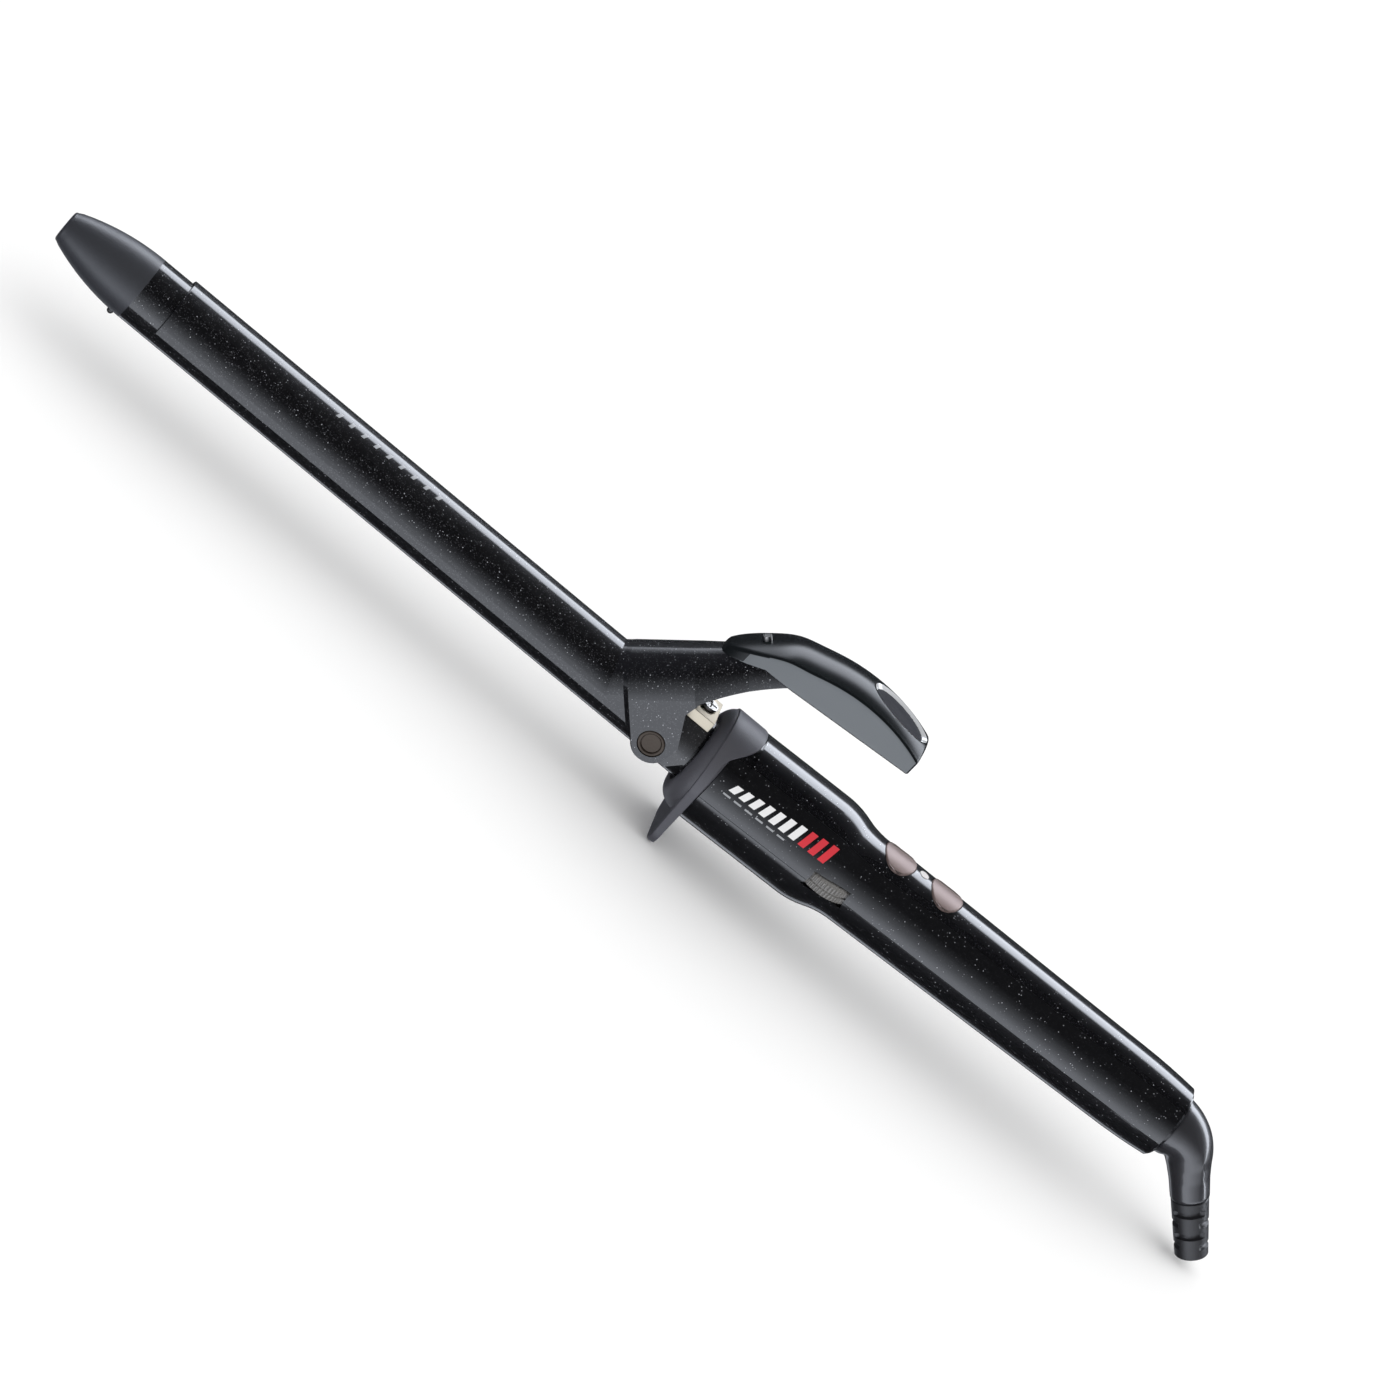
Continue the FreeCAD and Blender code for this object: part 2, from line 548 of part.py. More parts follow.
# side view of the arm behind the bend: ear, hollow over the spring, sweep up to the lever
ear_rear, ear_top = from_pin(6.3, 3.4), from_pin(1.4, 12.7)
sweep_start, sweep_middle, sweep_end = from_pin(2.3, 17.8), from_pin(8.6, 27.3), from_pin(17.5, 36.9)
skirt_low = -size("clamp_skirt")
skirt_rear = V(pin_spot.x - 8.8, 0, skirt_low)
skirt_front = V(front - 1, 0, skirt_low)
SIDE_REACH, ABOVE_ALL = 20.0, 60.0
side_edges = [
    Part.LineSegment(skirt_front, skirt_rear).toShape(),
    Part.LineSegment(skirt_rear, on_ear(EAR_LEFT)).toShape(),
    Part.Arc(on_ear(EAR_LEFT), on_ear(EAR_BOTTOM), on_ear(EAR_RIGHT)).toShape(),
    Part.LineSegment(on_ear(EAR_RIGHT), ear_rear).toShape(),
    Part.LineSegment(ear_rear, ear_top).toShape(),
    Part.LineSegment(ear_top, sweep_start).toShape(),
    Part.Arc(sweep_start, sweep_middle, sweep_end).toShape(),
    Part.LineSegment(sweep_end, V(sweep_end.x, 0, ABOVE_ALL)).toShape(),
    Part.LineSegment(V(sweep_end.x, 0, ABOVE_ALL), V(skirt_front.x, 0, ABOVE_ALL)).toShape(),
    Part.LineSegment(V(skirt_front.x, 0, ABOVE_ALL), skirt_front).toShape(),
]
side_wire = Part.Wire(side_edges)
side_wire.translate(V(0, -SIDE_REACH, 0))
side_prism = Part.Face(side_wire).extrude(V(0, 2 * SIDE_REACH, 0))

pin_hole = Part.makeCylinder(number("pin_head_radius + pin_clearance"), 2 * SIDE_REACH,
                             pin_spot - V(0, SIDE_REACH, 0), V(0, 1, 0))
arm = arm_channel(size("clamp_thickness")).common(behind).common(side_prism)
lever_screw_spot = bend + along_arm * size("lever_screw_place") - above_arm * size("clamp_thickness")
screw_start = lever_screw_spot - above_arm * size("lever_screw_sink")
lever_screw = Part.makeCylinder(size("lever_screw_radius"), size("lever_screw_length"),
                                screw_start, above_arm)
lever_screw = lever_screw.fuse(Part.makeCylinder(
    size("lever_screw_head"), size("lever_screw_head_depth"),
    screw_start - above_arm * size("lever_screw_head_depth"), above_arm))
clamp = spoon.fuse(arm).cut(pin_hole).cut(lever_screw).removeSplitter()
nose_edges = [e for e in clamp.Edges if e.BoundBox.XMax < front + 0.01 and e.BoundBox.ZMin > -0.5
              and e.Length > clamp_out * math.pi - 1]
if nose_edges:
    clamp = clamp.makeFillet(size("clamp_thickness") * 0.45, nose_edges[:1])
free_form("clamp", BARREL, clamp)
free_form("lever_screw", BARREL, lever_screw)

# ---------------------------------------------------------------- thumb lever and its pad
lever_front, lever_rear = -size("lever_front"), size("lever_rear")


def lever_top(x):
    drop = size("lever_arc") - math.sqrt(size("lever_arc") ** 2 - (x - size("lever_crown_place")) ** 2)
    return size("lever_crown") - drop


def lever_width(x):
    nose_end = lever_front + size("lever_nose")
    if x >= nose_end:
        return size("lever_half_width")
    return size("lever_half_width") * math.sqrt(1 - ((nose_end - x) / (size("lever_nose") + 0.8)) ** 2)


def lever_wire(x, inset, drop):
    """Cross-section of the lever: flat bottom, straight sides, domed top."""
    w = lever_width(x) - inset
    top = lever_top(x) - drop
    edge = top - size("lever_dome") * (w / size("lever_half_width")) ** 2
    low = size("lever_low") + size("lever_low_rise") * x
    low -= size("lever_neck_rise") * max(0, -size("lever_neck") - x)
    low = min(low, edge - 1.0) - (5.0 if inset else 0.0)
    a, b, c, d = V(x, -w, low), V(x, w, low), V(x, w, edge), V(x, -w, edge)
    return Part.Wire([Part.LineSegment(a, b).toShape(), Part.LineSegment(b, c).toShape(),
                      Part.Arc(c, V(x, 0, top), d).toShape(), Part.LineSegment(d, a).toShape()])


def lever_loft(start, end, steps, inset=0.0, drop=0.0):
    return Part.makeLoft([lever_wire(start + (end - start) * i / steps, inset, drop)
                          for i in range(steps + 1)], True, False)


LEVER_STEPS = 14
lever_solid = lever_loft(lever_front, lever_rear, LEVER_STEPS)
hollow = lever_loft(lever_front / 5, lever_rear - size("lever_wall"), LEVER_STEPS,
                    size("lever_wall"), size("lever_wall"))
arm_filled = arm_channel(0).common(behind)
pad_column = Part.makeCylinder(1, 30, V(0, 0, 30))
stretch = FreeCAD.Matrix()
stretch.scale(size("pad_half_length"), size("pad_half_width"), 1)
pad_column = pad_column.transformGeometry(stretch)
pad_column.translate(V(size("pad_place"), 0, 0))
recess_floor = lever_solid.copy()
recess_floor.translate(V(0, 0, -size("pad_depth")))
pad_skin = lever_solid.copy()
pad_skin.translate(V(0, 0, -size("pad_depth") + size("pad_thickness")))
recess = pad_column.cut(recess_floor)
lever = lever_solid.cut(hollow).cut(arm_filled).cut(recess).cut(lever_screw)
lever = max(lever.Solids, key=lambda s: s.Volume)
free_form("thumb_lever", BARREL, lever)
thumb_pad = pad_column.common(pad_skin).cut(recess_floor)
free_form("thumb_pad", BARREL, max(thumb_pad.Solids, key=lambda s: s.Volume))

# ---------------------------------------------------------------- collar with the stand foot
COLLAR_R = "handle_radius + collar_margin"
collar = new_body("collar", BARREL)
FOOT_SIDE = "foot_half_width"
pad(collar, "YZ_Plane", [
    ("-foot_half_width + foot_round", "-foot_depth"), ("foot_half_width - foot_round", "-foot_depth"),
    (FOOT_SIDE, "-foot_depth + foot_round"), (COLLAR_R, "-handle_drop - 2"), (COLLAR_R, "-handle_drop"),
    (f"-({COLLAR_R})", "-handle_drop"), (f"-({COLLAR_R})", "-handle_drop - 2"),
    ("-foot_half_width", "-foot_depth + foot_round"),
], "collar_front - collar_rear", "-collar_front", arcs={1: "foot_round", 4: COLLAR_R, 7: "foot_round"})
turned_cut(collar, [
    ("-collar_front - 1", "dome_radius"), ("-collar_front", "dome_radius"),
    ("-collar_crest", COLLAR_R), ("-collar_crest", "2 * foot_depth"),
    ("-collar_front - 1", "2 * foot_depth"),
], arcs={1: "-dome_arc"})
round_pocket(collar, "YZ_Plane", [("0", "0", "barrel_radius + collar_bore_gap")],
             "collar_front + 2", "1")
HOOD_OUT = "(handle_radius + hood_proud)"
HOOD_IN = f"({HOOD_OUT} - hood_thickness)"


def sector_point(radius, sign):
    return (f"{sign}({radius}) * sin(hood_angle)", f"({radius}) * cos(hood_angle) - handle_drop")


pad(collar, "YZ_Plane", [
    sector_point(HOOD_OUT, ""), sector_point(HOOD_OUT, "-"),
    sector_point(HOOD_IN, "-"), sector_point(HOOD_IN, ""),
], "hood_length + 1", "-collar_rear - 1", arcs={0: HOOD_OUT, 2: f"-({HOOD_IN})"})
HOOD_END = "hood_length - collar_rear"
HOOD_LOW = f"{HOOD_OUT} * cos(hood_angle) - handle_drop"
pocket(collar, "XZ_Plane", [
    ("-collar_rear + 0.1", f"{HOOD_LOW} - 1"), (f"{HOOD_END} + 1", f"{HOOD_LOW} - 1"),
    (f"{HOOD_END} + 1", f"{HOOD_LOW} + hood_length + 0.6"), (HOOD_END, f"{HOOD_LOW} + hood_length + 0.6"),
    ("-collar_rear + 0.1", HOOD_LOW)],
       "4 * handle_radius", arcs={3: "-hood_length * 1.1"}, Midplane=True)
pocket(collar, "XZ_Plane", [
    ("-collar_front - 1", "handle_radius / 2"), ("-collar_front", "handle_radius / 2"),
    ("-(collar_front + foot_front) / 2", "-handle_radius"), ("-foot_front", "-foot_depth"),
    ("-foot_front", "-foot_depth - 1"), ("-collar_front - 1", "-foot_depth - 1"),
], "4 * handle_radius", Midplane=True)
HEEL_TOP = "-handle_radius - handle_drop - 0.7"
pad(collar, "YZ_Plane", [
    ("-foot_half_width + foot_round", "-foot_depth"), ("foot_half_width - foot_round", "-foot_depth"),
    (FOOT_SIDE, "-foot_depth + foot_round"), (FOOT_SIDE, HEEL_TOP), ("-foot_half_width", HEEL_TOP),
    ("-foot_half_width", "-foot_depth + foot_round"),
], "collar_rear - foot_rear + 0.5", "-collar_rear - 0.5", arcs={1: "foot_round", 5: "foot_round"})

# ---------------------------------------------------------------- handle shells
NECK_END = "neck_start + neck_length"
NECK_STEP = "(handle_radius - grip_radius)"
NECK_ARC = f"(neck_length^2 + {NECK_STEP}^2) / (4 * {NECK_STEP})"
FRONT_X = "-collar_rear - 4"
MIDDLE = ("neck_start + neck_length / 2", "(handle_radius + grip_radius) / 2")


def grip_at(place):
    """The grip's radius at a place along its straight taper."""
    return f"grip_radius - (grip_radius - tail_shoulder) * ({place} - neck_start - neck_length)" \
           " / (tail_start - neck_start - neck_length)"


def handle_line(offset, rear):
    """Points along the handle's outline, moved inwards by offset, from the front to the rear."""
    tail = f"tail_shoulder - (tail_shoulder - tail_radius) * (({rear}) - tail_start)" \
           f" / (handle_length - tail_start) - ({offset})"
    return [(FRONT_X, f"handle_radius - ({offset})"), ("neck_start", f"handle_radius - ({offset})"),
            (MIDDLE[0], f"{MIDDLE[1]} - ({offset})"), (NECK_END, f"grip_radius - ({offset})"),
            ("tail_start", f"tail_shoulder - ({offset})"), (rear, tail)]


def line_arcs(first, forward=True):
    """The arcs of handle_line inside an outline where it starts at edge first."""
    radii = [f"-({NECK_ARC})", NECK_ARC, None, "-tail_arc"]
    if not forward:
        radii = [r and (r[1:] if r.startswith("-") else f"-({r})") for r in reversed(radii)]
    start = first + 1 if forward else first
    return {start + i: r for i, r in enumerate(radii) if r}
# the front face is cut upright in the barrel's frame, flush behind the collar
FACE_X = "(-collar_rear + 0.1)"
FACE_CUT = [("-40", "-30"), (f"{FACE_X} - 30 * tan(handle_tilt)", "-30"),
            (f"{FACE_X} + 30 * tan(handle_tilt)", "30"), ("-40", "30")]
HOOD_SEAT = [(FRONT_X, f"{HOOD_IN} - 0.2"),
             ("hood_length - collar_rear + 0.8", f"{HOOD_IN} - 0.2"),
             ("hood_length - collar_rear + 0.8", "handle_radius + 5"), (FRONT_X, "handle_radius + 5")]


def handle_half(label, keep_upper):
    line = handle_line("0", "handle_length - tail_chamfer")
    body = turned(label, HANDLE, [(FRONT_X, "0")] + line + [
        ("handle_length", "tail_radius - tail_chamfer"), ("handle_length", "0")], line_arcs(1))
    cavity = handle_line("handle_wall", "handle_length - rear_wall")
    turned_cut(body, [(FRONT_X, "0")] + cavity + [("handle_length - rear_wall", "0")], line_arcs(1))
    bore = "swivel_neck + swivel_clearance + bush_thickness + nest_gap / 2"
    turned_cut(body, [("handle_length - rear_wall - 1", "0"), ("handle_length - rear_wall - 1", bore),
                      ("handle_length + 1", bore), ("handle_length + 1", "0")])
    pocket(body, "XZ_Plane", FACE_CUT, "6 * handle_radius", Midplane=True)
    edge = "-part_line" if keep_upper else "-part_line - seam_gap"
    away = "-3 * handle_radius" if keep_upper else "3 * handle_radius"
    pocket(body, "XZ_Plane", [("-50", away), ("handle_length + 20", away), ("handle_length + 20", edge),
                              ("-50", edge)], "6 * handle_radius", Midplane=True)
    round_pocket(body, "XY_Plane", [("dial_place", "-dial_offset", "dial_radius + dial_gap")],
                 "dial_height + 2 * dial_gap", "-dial_bottom - dial_gap", Reversed=True)
    return body


SCREWS = ("screw_one", "screw_two", "screw_three")
upper = handle_half("handle_upper_shell", True)
turned_cut(upper, handle_line("panel_thickness + nest_gap", "handle_length + 1")[::-1] +
           [(FRONT_X, "handle_radius + 5"), ("handle_length + 1", "handle_radius + 5")],
           line_arcs(0, False), "panel_angle + 0.6")


def roof(place):
    """Height of the cavity's roof over a screw."""
    return ("handle_radius" if place == "screw_one" else grip_at(place)) + " - handle_wall"


turned_cut(upper, HOOD_SEAT, sweep="2 * hood_angle + 4")
for place in SCREWS:
    round_pad(upper, "XY_Plane", [(place, "0", "boss_radius")],
              f"{roof(place)} + part_line + 0.3", "-part_line")
    round_pocket(upper, "XY_Plane", [(place, "0", "screw_shank_radius")], "screw_length + part_line",
                 "-part_line - 0.01", Reversed=True)


def oval(sketch, centre, grow="0"):
    """An ellipse across the handle at a button's place."""
    a, b = number(f"button_half_width + {grow}"), number(f"button_half_length + {grow}")
    middle = V(number(centre), 0, 0)
    i = sketch.addGeometry(Part.Ellipse(middle + V(0, a, 0), middle + V(b, 0, 0), middle))
    sketch.exposeInternalGeometry(i)
    for kind, target, formula in (("DistanceX", (i, 3), centre), ("DistanceY", (i, 3), "0")):
        k = sketch.addConstraint(Sketcher.Constraint(kind, -1, 1, *target, number(formula)))
        sketch.setExpression(f"Constraints[{k}]", bound(formula))
    for line, formula in ((i + 1, f"2 * (button_half_width + {grow})"),
                          (i + 2, f"2 * (button_half_length + {grow})")):
        k = sketch.addConstraint(Sketcher.Constraint("Distance", line, number(formula)))
        sketch.setExpression(f"Constraints[{k}]", bound(formula))
    sketch.addConstraint(Sketcher.Constraint("Vertical", i + 1))


def button_opening(body, centre):
    sketch = new_sketch(body, "XY_Plane", "button_floor - button_travel - 0.6")
    oval(sketch, centre, "button_gap")
    feature(body, "Pocket", sketch, Length="handle_radius", Reversed=True)


BUTTONS = {"button_plus": "button_one", "button_minus": "button_two"}
for place in BUTTONS.values():
    button_opening(upper, place)
round_pocket(upper, "XY_Plane", [("indicator_place", "0", "indicator_radius + indicator_gap")],
             "handle_radius", "4", Reversed=True)

lower = handle_half("handle_lower_shell", False)
for place in SCREWS:
    depth = roof(place)
    round_pad(lower, "XY_Plane", [(place, "0", "boss_radius + 0.2")],
              f"{depth} - part_line - seam_gap + 0.3", "-part_line - seam_gap", Reversed=True)
    round_pocket(lower, "XY_Plane", [(place, "0", "screw_shank_radius + nest_gap")], "handle_radius")
    round_pocket(lower, "XY_Plane", [(place, "0", "screw_head + nest_gap")], "handle_radius", "-screw_seat")

PANEL_OUT = handle_line("0", "handle_length - tail_chamfer")
PANEL_IN = handle_line("panel_thickness", "handle_length - tail_chamfer")
panel = turned("control_panel", HANDLE, PANEL_OUT + PANEL_IN[::-1],
               line_arcs(0) | line_arcs(len(PANEL_OUT), False), "panel_angle")
turned_cut(panel, HOOD_SEAT, sweep="2 * hood_angle + 4")
pocket(panel, "XZ_Plane", FACE_CUT, "6 * handle_radius", Midplane=True)
for place in BUTTONS.values():
    button_opening(panel, place)
round_pocket(panel, "XY_Plane", [("indicator_place", "0", "indicator_radius + indicator_gap")],
             "handle_radius", "4", Reversed=True)

# ---------------------------------------------------------------- buttons, switches, indicator
SWITCH_TOP = "board_height + board_thickness + switch_height + switch_stem"
for label, place in BUTTONS.items():
    crown = f"{grip_at(place)} + button_proud"
    button = turned(label, HANDLE, [
        (f"{place} - 2 * button_half_length", "0"), (f"{place} - 2 * button_half_length", crown),
        (f"{place} + 2 * button_half_length", crown), (f"{place} + 2 * button_half_length", "0")])
    sketch = new_sketch(button, "XY_Plane", "-handle_radius")
    oval(sketch, place)
    rings(sketch, [(place, "0", "4 * button_half_width")])
    feature(button, "Pocket", sketch, Length="3 * handle_radius", Reversed=True)
    pocket(button, "XY_Plane", [
        (f"{place} - 3 * button_half_length", "-2 * button_half_width"),
        (f"{place} + 3 * button_half_length", "-2 * button_half_width"),
        (f"{place} + 3 * button_half_length", "2 * button_half_width"),
        (f"{place} - 3 * button_half_length", "2 * button_half_width")], "3 * handle_radius", "button_floor")
    round_pad(button, "XY_Plane", [(place, "0", "button_post")],
              f"button_floor - ({SWITCH_TOP} + button_travel + nest_gap) + 0.2",
              f"{SWITCH_TOP} + button_travel + nest_gap")

BOARD_TOP = "board_height + board_thickness"
switches = []
for place in BUTTONS.values():
    switches.append(box(f"switch_{place}",
                        (f"{place} - switch_half", "-switch_half", BOARD_TOP),
                        (f"{place} + switch_half", "switch_half", f"{BOARD_TOP} + switch_height")))
    switches.append(rod(f"switch_stem_{place}", "z", (place, "0", f"{BOARD_TOP} + switch_height"),
                        "switch_half / 2", "switch_stem"))
tact_pairs = []
for case, stem in zip(switches[::2], switches[1::2]):
    tact = doc.addObject("Part::Fuse", f"tact_{case.Name}")
    tact.Base, tact.Tool = case, stem
    tact_pairs.append(tact)
group("tact_switches", HANDLE, tact_pairs)
group("status_light", HANDLE, [
    rod("light_pipe", "z", ("indicator_place", "0", BOARD_TOP), "indicator_radius",
        f"{grip_at('indicator_place')} + 0.1 - ({BOARD_TOP})")])

# ---------------------------------------------------------------- circuit board and dial
board = new_body("circuit_board", HANDLE)
pad(board, "XY_Plane", [
    ("board_start", "-board_half_width"), ("board_start + board_length", "-board_half_width"),
    ("board_start + board_length", "board_half_width"), ("board_start", "board_half_width"),
], "board_thickness", "board_height")
group("relay", HANDLE, [
    box("relay_case", ("relay_place", "-relay_half_width", "board_height - relay_depth"),
        ("relay_place + relay_length", "relay_half_width", "board_height"))])
group("capacitor", HANDLE, [
    rod("capacitor_can", "z", ("capacitor_place", "0", "board_height - capacitor_depth"),
        "capacitor_radius - 0.1", "capacitor_depth")])

dial_prism = doc.addObject("Part::Prism", "dial_prism")
dial_prism.setExpression("Polygon", bound("dial_facets"))
dial_prism.setExpression("Circumradius", bound("dial_radius"))
dial_prism.setExpression("Height", bound("dial_height"))
dial_prism.setExpression("Placement.Base.x", bound("dial_place"))
dial_prism.setExpression("Placement.Base.y", bound("-dial_offset"))
dial_prism.setExpression("Placement.Base.z", bound("-dial_bottom"))
dial_hole = rod("dial_hole", "z", ("dial_place", "-dial_offset", "-dial_bottom - 1"),
                "axle_radius + axle_clearance", "dial_height + 2")
dial = doc.addObject("Part::Cut", "temperature_dial")
dial.Base, dial.Tool = dial_prism, dial_hole
keep("temperature_dial", dial, HANDLE)
group("dial_axle", HANDLE, [
    rod("axle_pin", "z", ("dial_place", "-dial_offset", "-dial_bottom - 0.5"), "axle_radius",
        "dial_height + 0.8")])
group("dial_sensor", HANDLE, [
    box("pot_case",
        ("dial_place - pot_half", "-dial_offset - pot_half + 1.5", "-dial_bottom - 0.5 - pot_height"),
        ("dial_place + pot_half", "-dial_offset + pot_half + 1.5", "-dial_bottom - 0.5"))])

screws = []
for place in SCREWS:
    head = rod(f"head_{place}", "z", (place, "0", "-screw_seat - screw_head_depth"),
               "screw_head", "screw_head_depth")
    shank = rod(f"shank_{place}", "z", (place, "0", "-screw_seat"), "screw_shank_radius",
                "screw_seat + screw_length - 1")
    screw = doc.addObject("Part::Fuse", f"case_{place}")
    screw.Base, screw.Tool = head, shank
    screws.append(screw)
group("case_screws", HANDLE, screws)

# ---------------------------------------------------------------- cord swivel
NECK_IN = "swivel_neck + swivel_clearance"
turned("swivel_bush", HANDLE, [
    ("handle_length - rear_wall", NECK_IN), ("handle_length - rear_wall", f"{NECK_IN} + bush_thickness"),
    ("handle_length", f"{NECK_IN} + bush_thickness"), ("handle_length", NECK_IN)])
group("contact_brushes", HANDLE, [
    box(f"brush_{word}",
        (f"handle_length - {word} - ring_width / 2", "-1.5", "-tail_radius + handle_wall + 0.6"),
        (f"handle_length - {word} + ring_width / 2", "1.5", "-stub_radius - ring_thickness - brush_gap"))
    for word in ("ring_one", "ring_two")])
group("supply_leads", HANDLE, [
    rod(f"supply_lead_{name}", "x", ("board_start + board_length + 1", f"{sign}lead_spread", "-lead_radius"),
        "lead_radius * 0.8", "handle_length - ring_two - ring_width - board_start - board_length - 2")
    for name, sign in (("near", "-"), ("far", ""))])
turned("slip_ring_core", HANDLE, [
    ("handle_length - stub_length", "elbow_bore"), ("handle_length - stub_length", "stub_radius"),
    ("handle_length - rear_wall - flange_thickness - 0.5", "stub_radius"),
    ("handle_length - rear_wall - flange_thickness - 0.5", "elbow_bore")])
rings_made = []
for word in ("ring_one", "ring_two"):
    wide = rod(f"disc_{word}", "x", (f"handle_length - {word} - ring_width / 2", "0", "0"),
               "stub_radius + ring_thickness", "ring_width")
    narrow = rod(f"eye_{word}", "x", (f"handle_length - {word} - ring_width", "0", "0"),
                 "stub_radius + nest_gap / 10", "2 * ring_width")
    ring = doc.addObject("Part::Cut", f"slip_{word}")
    ring.Base, ring.Tool = wide, narrow
    rings_made.append(ring)
group("slip_rings", HANDLE, rings_made)

# the elbow leaves the handle along its axis and turns down by elbow_angle
rear = size("handle_length")
elbow_centre = V(rear + size("elbow_reach"), 0, 0)
down = V(math.cos(math.radians(size("elbow_angle"))), 0, -math.sin(math.radians(size("elbow_angle"))))
x_axis = V(1, 0, 0)
flange_front = rear - number("rear_wall + flange_thickness") - 0.3
elbow = Part.makeCylinder(size("swivel_neck"), rear - flange_front + 1.0, V(flange_front, 0, 0), x_axis)
elbow = elbow.fuse(Part.makeCylinder(size("swivel_flange"), size("flange_thickness"),
                                     V(flange_front, 0, 0), x_axis))
elbow = elbow.fuse(Part.makeCone(size("elbow_radius"), size("elbow_bend_radius"),
                                 size("elbow_reach") - 0.3, V(rear + 0.3, 0, 0), x_axis))
elbow = elbow.fuse(Part.makeSphere(size("elbow_bend_radius"), elbow_centre))
elbow = elbow.fuse(Part.makeCone(size("elbow_bend_radius"), size("branch_waist_radius"),
                                 size("branch_waist"), elbow_centre, down))
elbow = elbow.fuse(Part.makeCone(size("branch_waist_radius"), size("branch_radius"),
                                 size("elbow_branch") - size("branch_waist"),
                                 elbow_centre + down * size("branch_waist"), down))
elbow = elbow.cut(Part.makeCylinder(size("elbow_bore"), 40, V(flange_front - 1, 0, 0), x_axis)
                  .common(half_space(elbow_centre, x_axis * -1)))
elbow = elbow.cut(Part.makeCylinder(size("elbow_bore"), 30, elbow_centre, down))
elbow = elbow.cut(Part.makeSphere(size("elbow_bore"), elbow_centre))
free_form("swivel_elbow", HANDLE, elbow.removeSplitter())

boot_start = size("elbow_branch") + 0.02
boot = Part.makeCone(size("boot_top_radius"), size("boot_end_radius"), size("boot_end") - boot_start,
                     elbow_centre + down * boot_start, down)
boot = boot.cut(Part.makeCylinder(size("cord_bore"), 40, elbow_centre + down * (boot_start + 1.5), down))
boot = boot.cut(Part.makeCylinder(size("elbow_bore"), 10, elbow_centre + down * boot_start, down))
groove_at = size("boot_groove_first")
while groove_at < size("boot_end") - size("boot_groove_pitch") / 2:
    outer = Part.makeCylinder(size("boot_top_radius") + 1, size("boot_groove"),
                              elbow_centre + down * groove_at, down)
    inner = Part.makeCylinder(size("boot_end_radius") - size("boot_groove_depth"), size("boot_groove") + 2,
                              elbow_centre + down * (groove_at - 1), down)
    boot = boot.cut(outer.cut(inner))
    groove_at += size("boot_groove_pitch")
free_form("cord_boot", HANDLE, boot)

# ---------------------------------------------------------------- check and export
doc.recompute()
for item in doc.Objects:
    if "Invalid" in item.State or "Error" in item.State:
        raise RuntimeError(f"{item.Label} failed: {item.State}")
os.makedirs("parts", exist_ok=True)
for label, item in NODES.items():
    shape = item.Shape
    if shape.isNull() or not shape.isValid() or not shape.Solids:
        raise RuntimeError(f"{label} has no sound shape")
for label, item in NODES.items():
    item.Shape.exportStep(f"parts/{label}.step")
    box_now = item.Shape.BoundBox
    print(f"{label:22s} solids {len(item.Shape.Solids)} volume {item.Shape.Volume:9.1f}"
          f" x {box_now.XMin:7.1f} {box_now.XMax:7.1f} z {box_now.ZMin:6.1f} {box_now.ZMax:6.1f}")
print(len(NODES), "nodes")
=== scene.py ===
# %% [markdown]
# # A spring-clamp curling iron
# The iron is a long coated barrel with a cool plastic tip, a hinged clamp that a thumb lever
# opens, and a handle with two buttons, a thumb dial and a swivelling elbow for the cord. The
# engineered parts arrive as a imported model, so every size below is read from it, and this lesson
# is about shape detail and finishes.

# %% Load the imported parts
import bpy
import bmesh
import json
import math
from mathutils import Matrix, Vector

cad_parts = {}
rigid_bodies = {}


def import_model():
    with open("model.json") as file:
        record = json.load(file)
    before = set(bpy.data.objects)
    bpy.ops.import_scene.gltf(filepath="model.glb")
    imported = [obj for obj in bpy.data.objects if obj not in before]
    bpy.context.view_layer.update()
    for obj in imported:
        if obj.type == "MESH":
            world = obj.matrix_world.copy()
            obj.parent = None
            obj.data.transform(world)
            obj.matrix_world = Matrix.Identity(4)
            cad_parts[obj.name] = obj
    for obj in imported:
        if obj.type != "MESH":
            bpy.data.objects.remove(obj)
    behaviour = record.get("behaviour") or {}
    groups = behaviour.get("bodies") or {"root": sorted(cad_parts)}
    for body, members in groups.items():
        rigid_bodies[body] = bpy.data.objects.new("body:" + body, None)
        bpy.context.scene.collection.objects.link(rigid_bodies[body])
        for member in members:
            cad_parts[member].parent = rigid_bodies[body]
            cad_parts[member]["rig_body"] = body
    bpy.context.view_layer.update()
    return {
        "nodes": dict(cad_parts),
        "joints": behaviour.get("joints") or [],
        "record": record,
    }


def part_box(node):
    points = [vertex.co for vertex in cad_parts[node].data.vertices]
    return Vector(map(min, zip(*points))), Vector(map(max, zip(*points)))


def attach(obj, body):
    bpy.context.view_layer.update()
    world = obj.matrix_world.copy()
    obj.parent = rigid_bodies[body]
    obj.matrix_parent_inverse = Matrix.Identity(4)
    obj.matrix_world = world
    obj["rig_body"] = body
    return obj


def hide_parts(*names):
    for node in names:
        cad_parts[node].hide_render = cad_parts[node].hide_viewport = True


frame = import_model()
nodes = frame["nodes"]
MM = 0.001

# %% [markdown]
# The handle leans 1.9 degrees against the barrel, so it needs a frame of its own. The joints in
# the record already carry that lean: the cord swivel turns about the handle's axis, and the
# buttons slide square to it. Reading the axes from the joints keeps the looks and the mechanism
# together if a size changes.

